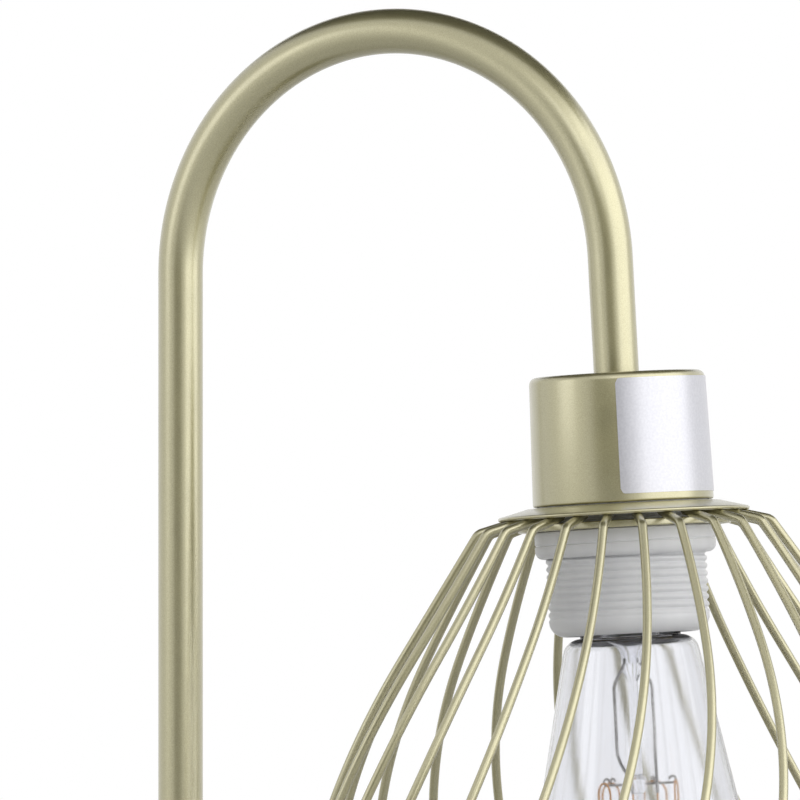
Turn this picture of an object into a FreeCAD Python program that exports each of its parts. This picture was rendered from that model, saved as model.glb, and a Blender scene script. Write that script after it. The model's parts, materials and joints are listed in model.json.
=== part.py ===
"""A table lamp with an arched tube, a wire cage shade and a screw-in bulb.

Millimetres, +Z up. The origin is the centre of the felt pad that the lamp stands on. The pole
stands off centre on the base, towards -X, and the arch carries the lamp head over to +X.
The head hangs on a slightly tilted axis, so its pieces are drawn about their own upright axis,
with zero at the top of the socket cup, and are then placed on the end of the arch.
"""
import FreeCAD
import Part
import Sketcher
import math
import os

Vector = FreeCAD.Vector

# Driving dimensions, in millimetres, degrees and counts.
DIMENSIONS = {
    # Base
    "base_dia": 170.0,
    "base_edge_round": 4.0,
    "cover_wall": 1.2,
    "pad_inset": 5.0,
    "pad_thickness": 2.0,
    "plate_thickness": 2.0,
    "plate_clearance": 0.5,
    "weight_inset": 10.0,
    "weight_thickness": 14.0,
    "weight_web": 4.0,
    "nut_well_clearance": 7.0,
    "lead_slot_clearance": 1.8,
    "plate_screw_count": 3.0,
    "plate_screw_inset": 20.0,
    "plate_screw_dia": 4.0,
    "plate_screw_head_dia": 8.0,
    "plate_screw_length": 10.0,
    "screw_clearance": 0.2,
    # Pole and arch
    "pole_inset": 30.0,
    "tube_dia": 11.3,
    "tube_wall": 1.0,
    "pole_length": 350.0,
    "arch_radius": 60.35,
    "head_tilt": 3.4,
    "leg_length": 29.0,
    "collar_dia": 22.0,
    "collar_height": 5.0,
    "collar_round": 1.5,
    # Threaded studs with their nuts and washers
    "stud_dia": 10.0,
    "stud_bore": 7.0,
    "stud_spigot_length": 14.0,
    "stud_clearance": 0.1,
    "nut_flats": 14.0,
    "nut_height": 3.5,
    "washer_dia": 16.0,
    "washer_thickness": 1.0,
    "stud_end": 0.5,
    # Internal lead and its way in
    "lead_dia": 4.4,
    "lead_bend": 4.6,
    "lead_lift": 0.2,
    "bushing_wall": 0.7,
    "bushing_brim": 1.0,
    "bushing_flange": 1.2,
    "bushing_clearance": 0.1,
    "core_dia": 1.6,
    "core_spacing": 2.2,
    "core_bend": 1.5,
    "core_drop": 0.6,
    "core_landing": 2.7,
    # Socket cup and the sticker on it
    "cup_clearance": 0.4,
    "cup_wall": 0.8,
    "cup_taper": 0.7,
    "cup_rim_gap": 0.2,
    "cup_edge_round": 1.5,
    "label_thickness": 0.15,
    "label_glue": 0.05,
    "label_drop": 1.6,
    "label_margin": 2.0,
    "label_turn": 100.0,
    "label_start": -65.0,
    # Lampholder
    "dome_gap": 0.5,
    "dome_entry": 6.0,
    "dome_boss_dia": 17.0,
    "dome_step": 0.3,
    "dome_wall": 2.0,
    "dome_slope": 7.0,
    "skirt_dia": 40.0,
    "skirt_length": 32.3,
    "skirt_lip_round": 4.0,
    "skirt_spigot": 3.0,
    "skirt_brim": 1.3,
    "skirt_flange": 2.2,
    "spigot_clearance": 0.3,
    "thread_pitch": 1.9,
    "thread_depth": 0.6,
    "thread_groove": 1.33,
    "thread_lead": 2.8,
    "core_ledge": 0.9,
    "core_height": 11.0,
    "core_sink": 2.6,
    "core_seat": 2.0,
    "wiring_space": 6.2,
    "shell_bore": 26.4,
    "shell_wall": 0.5,
    "shell_length": 20.0,
    "shell_flange_hole": 18.0,
    "shell_clearance": 1.9,
    "terminal_height": 5.0,
    "terminal_width": 7.0,
    "live_terminal_length": 12.0,
    "live_terminal_shift": 2.0,
    "neutral_terminal_length": 6.0,
    "neutral_terminal_shift": 10.5,
    "terminal_screw_dia": 2.6,
    "terminal_screw_head_dia": 3.6,
    "terminal_screw_head": 1.5,
    "terminal_screw_reach": 4.0,
    "live_screw_shift": 5.2,
    "rivet_dia": 3.0,
    "rivet_head_dia": 4.5,
    "plunger_bore": 8.0,
    "plunger_clearance": 0.2,
    "plunger_length": 7.3,
    "plunger_reach": 2.3,
    "spring_clearance": 0.7,
    "spring_wire": 0.7,
    "spring_turns": 4.0,
    "spring_end_gap": 0.1,
    # Cage shade
    "disc_brim": 7.3,
    "disc_hole_gap": 0.3,
    "disc_thickness": 1.0,
    "disc_drop": 1.9,
    "disc_seat": 0.1,
    "disc_flat": 3.7,
    "wire_count": 24.0,
    "wire_spans": 8.0,
    "wire_dia": 2.3,
    "wire_weld_gap": 0.05,
    "wire_weld_inset": 1.0,
    "wire_overhang": 4.23,
    "wire_bend": 3.0,
    "wire_phase": -87.0,
    "cage_twist": 11.2,
    "cage_twist_growth": 38.0,
    "cage_flare_angle": 34.0,
    "cage_flare_length": 35.0,
    "cage_shoulder_radius": 223.0,
    "cage_knee_angle": 23.5,
    "cage_belly_radius": 115.0,
    "cage_closing_angle": 35.0,
    "bottom_ring_wire": 3.0,
    "bottom_ring_gap": 0.47,
    "clamp_ring_brim": 2.5,
    "clamp_ring_thickness": 1.75,
    "shade_ring_wall": 2.35,
    "shade_ring_height": 6.7,
    "shade_ring_round": 2.0,
    "shade_ring_gap": 0.1,
    "thread_clearance": 0.15,
    # Bulb
    "tip_dia": 9.0,
    "tip_height": 2.0,
    "tip_gap": 0.1,
    "insulator_height": 4.0,
    "cap_clearance": 0.3,
    "cap_wall": 0.4,
    "cap_length": 16.5,
    "cap_shoulder": 2.0,
    "glass_wall": 0.9,
    "neck_clearance": 0.1,
    "neck_taper": 6.4,
    "shoulder_round": 4.5,
    "shoulder_drop": 5.1,
    "globe_radius": 32.0,
    "globe_drop": 76.2,
    "globe_cone_angle": 11.5,
    "stem_radius": 1.3,
    "stem_flare_gap": 0.5,
    "stem_flare_lift": 2.4,
    "stem_flare_height": 11.0,
    "stem_pinch_drop": 12.5,
    "stem_pinch_radius": 2.8,
    "stem_end": 1.5,
    "hub_height": 3.0,
    "hub_radius": 2.3,
    "strand_count": 10.0,
    "strand_start": -36.0,
    "strand_radius": 10.0,
    "strand_drop": 31.0,
    "strand_length": 42.0,
    "filament_wire": 0.5,
    "hook_wire": 0.6,
    "inner_lead_wire": 0.8,
    "inner_lead_spread": 4.8,
    "inner_lead_bend": 10.0,
    "inner_lead_turn": 90.0,
}

doc = FreeCAD.newDocument("table_lamp")
sheet = doc.addObject("Spreadsheet::Sheet", "sizes")
for row, (alias, number) in enumerate(DIMENSIONS.items(), start=1):
    sheet.set("A%d" % row, alias)
    sheet.set("B%d" % row, repr(number))
    sheet.setAlias("B%d" % row, alias)
doc.recompute()


class Size:
    """A length with the spreadsheet expression that it comes from, so that sums keep both."""

    def __init__(self, value, text):
        self.value = value
        self.text = text

    def __add__(self, other):
        other = as_size(other)
        return Size(self.value + other.value, "(%s + %s)" % (self.text, other.text))

    def __sub__(self, other):
        other = as_size(other)
        return Size(self.value - other.value, "(%s - %s)" % (self.text, other.text))

    def __mul__(self, other):
        other = as_size(other)
        return Size(self.value * other.value, "(%s * %s)" % (self.text, other.text))

    def __truediv__(self, other):
        other = as_size(other)
        return Size(self.value / other.value, "(%s / %s)" % (self.text, other.text))

    def __neg__(self):
        return Size(-self.value, "(0 - %s)" % self.text)


def as_size(number):
    """A plain number as a Size; a Size as it is."""
    if isinstance(number, Size):
        return number
    return Size(float(number), repr(float(number)))


def size(alias):
    """The Size kept in the spreadsheet cell of that name."""
    return Size(float(sheet.get(alias)), "sizes.%s" % alias)


def sine(angle):
    """Sine of a Size in degrees."""
    return Size(math.sin(math.radians(angle.value)), "sin(%s * 1 deg)" % angle.text)


def cosine(angle):
    """Cosine of a Size in degrees."""
    return Size(math.cos(math.radians(angle.value)), "cos(%s * 1 deg)" % angle.text)


def tangent(angle):
    """Tangent of a Size in degrees."""
    return Size(math.tan(math.radians(angle.value)), "tan(%s * 1 deg)" % angle.text)


# Levels and places shared by several pieces.
POLE_X = size("pole_inset") - size("base_dia") / 2
PLATE_BASE = size("pad_thickness")
WEIGHT_BASE = PLATE_BASE + size("plate_thickness")
COVER_CEILING = WEIGHT_BASE + size("weight_thickness")
COVER_TOP = COVER_CEILING + size("cover_wall")
TUBE_BASE = COVER_TOP + size("collar_height")
ARCH_LEVEL = TUBE_BASE + size("pole_length")
NUT_WELL_TOP = COVER_CEILING - size("weight_web")
LEAD_LEVEL = WEIGHT_BASE + size("lead_dia") / 2 + size("lead_lift")
TILT = size("head_tilt")
BEND_END_X = POLE_X + size("arch_radius") + size("arch_radius") * cosine(TILT)
BEND_END_Z = ARCH_LEVEL + size("arch_radius") * sine(TILT)
LEG_END_X = BEND_END_X + size("leg_length") * sine(TILT)
LEG_END_Z = BEND_END_Z - size("leg_length") * cosine(TILT)
TUBE_BORE = size("tube_dia") - size("tube_wall") * 2
SPIGOT_DIA = TUBE_BORE - size("stud_clearance")
STUD_HOLE = size("stud_dia") + size("stud_clearance") * 2

# Levels down the head's axis, counted from the top of the cup. The stack of nut, dome, wiring
# space, terminals and core sets how deep the cup is.
NUT_BASE = size("cup_wall") + size("washer_thickness") + size("nut_height")
DOME_TOP = NUT_BASE + size("dome_gap")
STUD_END = DOME_TOP + size("dome_entry")
SHEATH_END = STUD_END + size("dome_gap") * 2
TERMINAL_TOP = SHEATH_END + size("wiring_space")
CORE_TOP = TERMINAL_TOP + size("terminal_height")
CORE_BOTTOM = CORE_TOP + size("core_height")
FLANGE_BASE = CORE_BOTTOM - size("core_sink")
FLANGE_TOP = FLANGE_BASE - size("skirt_flange")
CUP_RIM = FLANGE_BASE - size("cup_rim_gap")
SKIRT_BOTTOM = FLANGE_BASE + size("skirt_length")

# Radii about the head's axis, each from the piece inside it.
SHELL_INNER = size("shell_bore") / 2
SHELL_OUTER = SHELL_INNER + size("shell_wall")
SKIRT_BORE = SHELL_OUTER + size("shell_clearance")
CORE_RADIUS = SKIRT_BORE + size("core_ledge")
SKIRT_RADIUS = size("skirt_dia") / 2
FLANGE_RADIUS = SKIRT_RADIUS + size("skirt_brim")
DOME_RADIUS = FLANGE_RADIUS - size("dome_step")
CUP_RADIUS = FLANGE_RADIUS + size("cup_clearance") + size("cup_wall")

UPRIGHT = FreeCAD.Placement()
ON_POLE = FreeCAD.Placement(Vector(POLE_X.value, 0, 0), FreeCAD.Rotation())
IN_HEAD = FreeCAD.Placement(
    Vector(LEG_END_X.value, 0, LEG_END_Z.value),
    FreeCAD.Rotation(Vector(0, 1, 0), -TILT.value),
)

sub_parts = []


def keep(piece, name, placement):
    """Name a finished piece, put it in its place and list it as a sub-part."""
    piece.Label = name
    piece.Placement = placement
    sub_parts.append(piece)
    return piece


def attach(sketch, body, role):
    """Lay a sketch on one of its own body's origin planes."""
    planes = [plane for plane in body.Origin.OriginFeatures if plane.Role == role]
    sketch.AttachmentSupport = [(planes[0], "")]
    sketch.MapMode = "FlatFace"


def lift(sketch, level):
    """Move a sketch along its normal."""
    sketch.AttachmentOffset = FreeCAD.Placement(Vector(0, 0, level.value), FreeCAD.Rotation())
    sketch.setExpression("AttachmentOffset.Base.z", level.text)


def pin_point(sketch, geometry, position, corner, axes="xy"):
    """Hold one point of a sketch at a distance from the sketch's origin along each axis."""
    for axis, kind, distance in (("x", "DistanceX", corner[0]), ("y", "DistanceY", corner[1])):
        if axis in axes:
            constraint = Sketcher.Constraint(kind, -1, 1, geometry, position, distance.value)
            index = sketch.addConstraint(constraint)
            sketch.setExpression("Constraints[%d]" % index, distance.text)


def arc_between(start, end, centre):
    """The arc of less than a half turn from start to end, and whether it runs anticlockwise."""
    radius = math.hypot(start[0] - centre[0], start[1] - centre[1])
    first = math.atan2(start[1] - centre[1], start[0] - centre[0])
    last = math.atan2(end[1] - centre[1], end[0] - centre[0])
    anticlockwise = (last - first) % (2 * math.pi) < math.pi
    if not anticlockwise:
        first, last = last, first
    circle = Part.Circle(Vector(centre[0], centre[1], 0), Vector(0, 0, 1), radius)
    return Part.ArcOfCircle(circle, first, last), anticlockwise


def draw(sketch, outline, closed=True):
    """Draw an outline of lines and arcs and hold every corner at its size.

    A corner is (x, y), reached by a line, or (x, y, centre_x, centre_y), reached by an arc.
    A closed outline starts with a corner reached by a line.
    """
    corners = [tuple(as_size(number) for number in corner) for corner in outline]
    values = [tuple(number.value for number in corner) for corner in corners]
    count = len(corners)
    steps = range(count) if closed else range(count - 1)
    starts = []
    ends = []
    pieces = []
    for step in steps:
        goal = (step + 1) % count
        if len(corners[goal]) == 2:
            line = Part.LineSegment(Vector(*values[step][:2], 0), Vector(*values[goal][:2], 0))
            pieces.append(sketch.addGeometry(line, False))
            starts.append(1)
            ends.append(2)
        else:
            arc, anticlockwise = arc_between(values[step][:2], values[goal][:2], values[goal][2:])
            pieces.append(sketch.addGeometry(arc, False))
            starts.append(1 if anticlockwise else 2)
            ends.append(2 if anticlockwise else 1)
    for step in range(len(pieces) if closed else len(pieces) - 1):
        follower = (step + 1) % len(pieces)
        sketch.addConstraint(
            Sketcher.Constraint(
                "Coincident", pieces[step], ends[step], pieces[follower], starts[follower]
            )
        )
    if not closed:
        pin_point(sketch, pieces[0], starts[0], corners[0])
    for step in steps:
        goal = (step + 1) % count
        axes = "xy"
        if len(corners[goal]) == 4:
            pin_point(sketch, pieces[step], 3, corners[goal][2:])
            across = abs(values[goal][0] - values[goal][2])
            along = abs(values[goal][1] - values[goal][3])
            axes = "y" if across > along else "x"
        pin_point(sketch, pieces[step], ends[step], corners[goal], axes)


def draw_circle(sketch, centre, diameter):
    """Draw a circle of that diameter about a centre."""
    middle = (as_size(centre[0]), as_size(centre[1]))
    circle = Part.Circle(
        Vector(middle[0].value, middle[1].value, 0), Vector(0, 0, 1), diameter.value / 2
    )
    index = sketch.addGeometry(circle, False)
    pin_point(sketch, index, 3, middle)
    constraint = sketch.addConstraint(Sketcher.Constraint("Diameter", index, diameter.value))
    sketch.setExpression("Constraints[%d]" % constraint, diameter.text)


def new_body(name):
    """An empty body for one sub-part."""
    return doc.addObject("PartDesign::Body", name)


def turned(name, outline, turn=None):
    """A body turned about its upright axis from an outline of radius and height."""
    body = new_body(name)
    sketch = body.newObject("Sketcher::SketchObject", name + "_outline")
    attach(sketch, body, "XZ_Plane")
    draw(sketch, outline)
    revolution = body.newObject("PartDesign::Revolution", name + "_turning")
    revolution.Profile = sketch
    revolution.ReferenceAxis = (sketch, ["V_Axis"])
    if turn is None:
        revolution.Angle = 360
    else:
        revolution.Angle = turn.value
        revolution.setExpression("Angle", turn.text + " * 1 deg")
    sketch.Visibility = False
    return body


def padded(name, outline, holes, level, height):
    """A body raised from an outline with round holes; a hole is (x, y, diameter)."""
    body = new_body(name)
    sketch = body.newObject("Sketcher::SketchObject", name + "_outline")
    attach(sketch, body, "XY_Plane")
    lift(sketch, level)
    draw(sketch, outline)
    for x, y, diameter in holes:
        draw_circle(sketch, (x, y), diameter)
    pad = body.newObject("PartDesign::Pad", name + "_pad")
    pad.Profile = sketch
    pad.Length = height.value
    pad.setExpression("Length", height.text)
    return body


def check_cut(body, before):
    """Stop if a cut removed nothing."""
    doc.recompute()
    if not body.Shape.Volume < before - 1e-6:
        raise RuntimeError("a cut in %s removed nothing" % body.Name)


def pocket(body, level, depth, circles=(), outline=None, role="XY_Plane"):
    """Cut straight back from a level into a body: round holes or one outline."""
    doc.recompute()
    before = body.Shape.Volume
    sketch = body.newObject("Sketcher::SketchObject", body.Name + "_cut")
    attach(sketch, body, role)
    lift(sketch, level)
    if outline is not None:
        draw(sketch, outline)
    for x, y, diameter in circles:
        draw_circle(sketch, (x, y), diameter)
    cut = body.newObject("PartDesign::Pocket", body.Name + "_pocket")
    cut.Profile = sketch
    cut.Length = depth.value
    cut.setExpression("Length", depth.text)
    check_cut(body, before)
    return cut


def piped(name, path, circles, role, level):
    """A body swept along a path of lines and tangent arcs in the XZ plane."""
    body = new_body(name)
    spine = body.newObject("Sketcher::SketchObject", name + "_path")
    attach(spine, body, "XZ_Plane")
    draw(spine, path, closed=False)
    section = body.newObject("Sketcher::SketchObject", name + "_section")
    attach(section, body, role)
    lift(section, level)
    for x, y, diameter in circles:
        draw_circle(section, (x, y), diameter)
    doc.recompute()
    pipe = body.newObject("PartDesign::AdditivePipe", name + "_pipe")
    pipe.Profile = section
    pipe.Spine = (spine, ["Edge%d" % (index + 1) for index in range(len(path) - 1)])
    return body


def polygon(count, flats):
    """The corners of a regular polygon with that distance across its flats."""
    reach = flats / (2 * math.cos(math.pi / count))
    angles = [2 * math.pi * index / count for index in range(count)]
    return [(reach * math.cos(angle), reach * math.sin(angle)) for angle in angles]


def rectangle(width, depth, centre_x):
    """A rectangle about a centre on the X axis."""
    left = centre_x - width / 2
    right = centre_x + width / 2
    return [(left, -depth / 2), (right, -depth / 2), (right, depth / 2), (left, depth / 2)]


def ring_outline(inner, outer, bottom, top):
    """The outline of a plain ring from its two radii and its two levels."""
    return [(inner, bottom), (outer, bottom), (outer, top), (inner, top)]


def biarc(start, start_way, end, end_way):
    """Two arcs in space that join two points along two given directions."""
    gap = end - start
    ways = start_way + end_way
    a = ways.dot(ways) - 4
    b = -2 * gap.dot(ways)
    c = gap.dot(gap)
    if abs(a) < 1e-9:
        reach = -c / b
    else:
        reach = (-b - math.sqrt(b * b - 4 * a * c)) / (2 * a)
        if reach < 0:
            reach = (-b + math.sqrt(b * b - 4 * a * c)) / (2 * a)
    first = start + start_way * reach
    second = end - end_way * reach
    joint = (first + second) * 0.5
    middle_way = (second - first).normalize()
    return [tangent_arc(start, start_way, joint), tangent_arc(joint, middle_way, end)]


def tangent_arc(start, way, end):
    """The arc, or line, that leaves a point along a direction and ends at another point."""
    chord = end - start
    along = Vector(chord).normalize()
    side = way - along * way.dot(along)
    if side.Length < 1e-6:
        return Part.LineSegment(start, end).toShape()
    angle = math.atan2(side.Length, way.dot(along))
    bulge = side.normalize() * (chord.Length / 2 * math.tan(angle / 2))
    return Part.Arc(start, start + chord * 0.5 + bulge, end).toShape()


def round_wire(edges, diameter):
    """A round solid wire along joined edges, checked against its length."""
    path = Part.Wire(edges)
    first = edges[0]
    start = first.valueAt(first.FirstParameter)
    way = first.tangentAt(first.FirstParameter)
    section = Part.Wire([Part.makeCircle(diameter / 2, start, way)])
    solid = path.makePipeShell([section], True, False)
    expected = math.pi * diameter ** 2 / 4 * path.Length
    if abs(solid.Volume - expected) > 0.01 * expected:
        raise RuntimeError("a wire has volume %.3f, not %.3f" % (solid.Volume, expected))
    return solid


def shaped(name, solids):
    """A sub-part whose separate solids are worked out point by point."""
    feature = doc.addObject("Part::Feature", name)
    feature.Shape = solids[0] if len(solids) == 1 else Part.makeCompound(solids)
    return feature


def grouped(name, members):
    """Several like pieces kept together as one sub-part."""
    group = doc.addObject("Part::Compound", name)
    group.Links = members
    return group


def around(count, radius):
    """Points spread evenly round a circle."""
    angles = [2 * math.pi * index / count for index in range(count)]
    return [(radius * math.cos(angle), radius * math.sin(angle)) for angle in angles]


# Felt pad: the soft disc that the lamp stands on.
cover_radius = size("base_dia") / 2
pad_radius = cover_radius - size("pad_inset")
pad = turned("felt_pad", ring_outline(0, pad_radius, 0, size("pad_thickness")))
keep(pad, "felt_pad", UPRIGHT)

# Bottom plate: a steel disc that closes the base, with countersunk screw holes.
plate_radius = cover_radius - size("cover_wall") - size("plate_clearance")
weight_radius = cover_radius - size("weight_inset")
screw_circle_radius = weight_radius - size("plate_screw_inset")
screw_places = around(int(size("plate_screw_count").value), screw_circle_radius)
screw_hole = size("plate_screw_dia") + size("screw_clearance") * 2
sink_depth = size("plate_screw_head_dia") / 2 - size("plate_screw_dia") / 2
plate = turned("bottom_plate", ring_outline(0, plate_radius, PLATE_BASE, WEIGHT_BASE))
pocket(
    plate,
    WEIGHT_BASE,
    size("plate_thickness"),
    [(x, y, screw_hole) for x, y in screw_places],
)
sink_edges = PLATE_BASE + size("screw_clearance")
for number, (x, y) in enumerate(screw_places):
    sketch = plate.newObject("Sketcher::SketchObject", "sink_outline_%d" % number)
    attach(sketch, plate, "XZ_Plane")
    lift(sketch, -y)
    head_radius = size("plate_screw_head_dia") / 2 + size("screw_clearance")
    draw(
        sketch,
        [
            (x, PLATE_BASE - size("screw_clearance")),
            (x + head_radius, PLATE_BASE - size("screw_clearance")),
            (x + head_radius, sink_edges),
            (x + screw_hole / 2, sink_edges + head_radius - screw_hole / 2),
            (x, sink_edges + head_radius - screw_hole / 2),
        ],
    )
    sink_axis = sketch.addGeometry(Part.LineSegment(Vector(0, 0, 0), Vector(0, 1, 0)), True)
    pin_point(sketch, sink_axis, 1, (x, as_size(0)))
    pin_point(sketch, sink_axis, 2, (x, as_size(1)))
    doc.recompute()
    before = plate.Shape.Volume
    sink = plate.newObject("PartDesign::Groove", "sink_%d" % number)
    sink.Profile = sketch
    sink.ReferenceAxis = (sketch, ["Axis0"])
    sink.Angle = 360
    check_cut(plate, before)
keep(plate, "bottom_plate", UPRIGHT)

# Plate screws: countersunk screws that hold the bottom plate to the weight.
screws = []
for number, (x, y) in enumerate(screw_places):
    head_radius = size("plate_screw_head_dia") / 2
    shank_radius = size("plate_screw_dia") / 2
    screw = turned(
        "plate_screw_%d" % number,
        [
            (0, PLATE_BASE),
            (head_radius, PLATE_BASE),
            (head_radius, sink_edges),
            (shank_radius, sink_edges + sink_depth),
            (shank_radius, PLATE_BASE + size("plate_screw_length")),
            (0, PLATE_BASE + size("plate_screw_length")),
        ],
    )
    screw.Placement = FreeCAD.Placement(Vector(x.value, y.value, 0), FreeCAD.Rotation())
    screws.append(screw)
keep(grouped("plate_screws", screws), "plate_screws", UPRIGHT)

# Base weight: a cast disc with a well for the pole's nut and a slot for the lead.
weight = turned("base_weight", ring_outline(0, weight_radius, WEIGHT_BASE, COVER_CEILING))
pocket(weight, COVER_CEILING, size("weight_thickness"), [(POLE_X, 0, STUD_HOLE)])
well_depth = NUT_WELL_TOP - WEIGHT_BASE
nut_well = size("washer_dia") + size("nut_well_clearance") * 2
pocket(weight, NUT_WELL_TOP, well_depth, [(POLE_X, 0, nut_well)])
slot_half = size("lead_dia") / 2 + size("lead_slot_clearance")
slot_depth = size("lead_lift") + size("lead_dia") + size("lead_slot_clearance")
slot_end = -cover_radius
pocket(
    weight,
    WEIGHT_BASE + slot_depth,
    slot_depth,
    outline=[
        (slot_end, -slot_half),
        (POLE_X, -slot_half),
        (POLE_X, slot_half),
        (slot_end, slot_half),
    ],
)
pocket(
    weight,
    PLATE_BASE + size("plate_screw_length"),
    size("plate_screw_length") - size("plate_thickness"),
    [(x, y, screw_hole) for x, y in screw_places],
)
keep(weight, "base_weight", UPRIGHT)

# Base cover: the spun shell over the weight, with the pole's hole and the lead's way in.
edge = size("base_edge_round")
wall = size("cover_wall")
cover = turned(
    "base_cover",
    [
        (0, COVER_CEILING),
        (cover_radius - edge, COVER_CEILING),
        (cover_radius - wall, COVER_TOP - edge, cover_radius - edge, COVER_TOP - edge),
        (cover_radius - wall, PLATE_BASE),
        (cover_radius, PLATE_BASE),
        (cover_radius, COVER_TOP - edge),
        (cover_radius - edge, COVER_TOP, cover_radius - edge, COVER_TOP - edge),
        (0, COVER_TOP),
    ],
)
pocket(cover, COVER_TOP, size("cover_wall"), [(POLE_X, 0, STUD_HOLE)])
bushing_hole = size("lead_dia") / 2 + size("bushing_clearance")
bushing_radius = bushing_hole + size("bushing_wall")
inlet_hole = (bushing_radius + size("bushing_clearance")) * 2
inlet_reach = cover_radius + size("bushing_flange")
pocket(cover, as_size(0), inlet_reach, [(0, LEAD_LEVEL, inlet_hole)], role="YZ_Plane")
keep(cover, "base_cover", UPRIGHT)

# Cord bushing: the plastic inlet in the back of the base, drawn about the lead's axis.
brim_radius = bushing_radius + size("bushing_brim")
bushing = turned(
    "cord_bushing",
    [
        (bushing_hole, -size("cover_wall")),
        (bushing_radius, -size("cover_wall")),
        (bushing_radius, 0),
        (brim_radius, 0),
        (brim_radius, size("bushing_flange")),
        (bushing_hole, size("bushing_flange")),
    ],
)
keep(
    bushing,
    "cord_bushing",
    FreeCAD.Placement(
        Vector(-cover_radius.value, 0, LEAD_LEVEL.value), FreeCAD.Rotation(Vector(0, 1, 0), -90)
    ),
)

# Pole collar: the turned ring between the base and the tube.
collar_radius = size("collar_dia") / 2
collar_round = size("collar_round")
collar = turned(
    "pole_collar",
    [
        (STUD_HOLE / 2, COVER_TOP),
        (collar_radius, COVER_TOP),
        (collar_radius, TUBE_BASE - collar_round),
        (
            collar_radius - collar_round,
            TUBE_BASE,
            collar_radius - collar_round,
            TUBE_BASE - collar_round,
        ),
        (STUD_HOLE / 2, TUBE_BASE),
    ],
)
keep(collar, "pole_collar", ON_POLE)


def stud_outline(thread_end, shoulder, spigot_end):
    """A hollow stud: a thread up or down from a shoulder and a plain spigot beyond it."""
    return [
        (size("stud_bore") / 2, thread_end),
        (size("stud_dia") / 2, thread_end),
        (size("stud_dia") / 2, shoulder),
        (SPIGOT_DIA / 2, shoulder),
        (SPIGOT_DIA / 2, spigot_end),
        (size("stud_bore") / 2, spigot_end),
    ]


# Pole stud with its lock washer and nut: they clamp the tube, collar, cover and weight together.
lower_nut_top = NUT_WELL_TOP - size("washer_thickness")
lower_nut_base = lower_nut_top - size("nut_height")
stud = turned(
    "pole_stud",
    stud_outline(
        lower_nut_base - size("stud_end"), TUBE_BASE, TUBE_BASE + size("stud_spigot_length")
    ),
)
keep(stud, "pole_stud", ON_POLE)
washer = turned(
    "pole_lock_washer",
    ring_outline(STUD_HOLE / 2, size("washer_dia") / 2, lower_nut_top, NUT_WELL_TOP),
)
keep(washer, "pole_lock_washer", ON_POLE)
nut = padded(
    "pole_nut",
    polygon(6, size("nut_flats")),
    [(0, 0, STUD_HOLE)],
    lower_nut_base,
    size("nut_height"),
)
keep(nut, "pole_nut", ON_POLE)

# Arch tube: one bent tube, up the pole, over the arch and down the short leg.
tube = piped(
    "arch_tube",
    [
        (POLE_X, TUBE_BASE),
        (POLE_X, ARCH_LEVEL),
        (BEND_END_X, BEND_END_Z, POLE_X + size("arch_radius"), ARCH_LEVEL),
        (LEG_END_X, LEG_END_Z),
    ],
    [(POLE_X, 0, size("tube_dia")), (POLE_X, 0, TUBE_BORE)],
    "XY_Plane",
    TUBE_BASE,
)
keep(tube, "arch_tube", UPRIGHT)

# Inner lead: the two-core lead from the inlet, through the base and the tube, to the holder.
lead_inlet = -(cover_radius + size("bushing_flange"))
lead = piped(
    "inner_lead",
    [
        (lead_inlet, LEAD_LEVEL),
        (POLE_X - size("lead_bend"), LEAD_LEVEL),
        (
            POLE_X,
            LEAD_LEVEL + size("lead_bend"),
            POLE_X - size("lead_bend"),
            LEAD_LEVEL + size("lead_bend"),
        ),
        (POLE_X, ARCH_LEVEL),
        (BEND_END_X, BEND_END_Z, POLE_X + size("arch_radius"), ARCH_LEVEL),
        (LEG_END_X + SHEATH_END * sine(TILT), LEG_END_Z - SHEATH_END * cosine(TILT)),
    ],
    [(0, LEAD_LEVEL, size("lead_dia"))],
    "YZ_Plane",
    lead_inlet,
)
keep(lead, "inner_lead", UPRIGHT)

# Cup stud: the hollow stud in the end of the leg that carries the whole lamp head.
stud = turned("cup_stud", stud_outline(-STUD_END, as_size(0), size("stud_spigot_length")))
keep(stud, "cup_stud", IN_HEAD)

# Socket cup: the drawn metal cup that hides the upper half of the lampholder, drawn in a little
# towards its top.
cup_round = size("cup_edge_round")
cup_wall = size("cup_wall")
cup_top_radius = CUP_RADIUS - size("cup_taper")
cup = turned(
    "socket_cup",
    [
        (STUD_HOLE / 2, -cup_wall),
        (cup_top_radius - cup_round, -cup_wall),
        (cup_top_radius - cup_wall, -cup_round, cup_top_radius - cup_round, -cup_round),
        (CUP_RADIUS - cup_wall, -CUP_RIM),
        (CUP_RADIUS, -CUP_RIM),
        (cup_top_radius, -cup_round),
        (cup_top_radius - cup_round, 0, cup_top_radius - cup_round, -cup_round),
        (STUD_HOLE / 2, 0),
    ],
)
keep(cup, "socket_cup", IN_HEAD)

# Cup label: a blank foil sticker round one side of the cup, on a thin layer of glue.
label_top = size("label_drop")
label_base = CUP_RIM - size("label_margin")
label_thickness = size("label_thickness")


def label_back(level):
    """Radius of the sticker's back, which follows the cup's side, at a level."""
    taper = size("cup_taper") / (CUP_RIM - cup_round)
    return cup_top_radius + taper * (level - cup_round) + size("label_glue")


label = turned(
    "cup_label",
    [
        (label_back(label_base), -label_base),
        (label_back(label_base) + label_thickness, -label_base),
        (label_back(label_top) + label_thickness, -label_top),
        (label_back(label_top), -label_top),
    ],
    size("label_turn"),
)
label_place = FreeCAD.Placement(
    Vector(), FreeCAD.Rotation(Vector(0, 0, 1), size("label_start").value)
)
keep(label, "cup_label", IN_HEAD.multiply(label_place))

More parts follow.
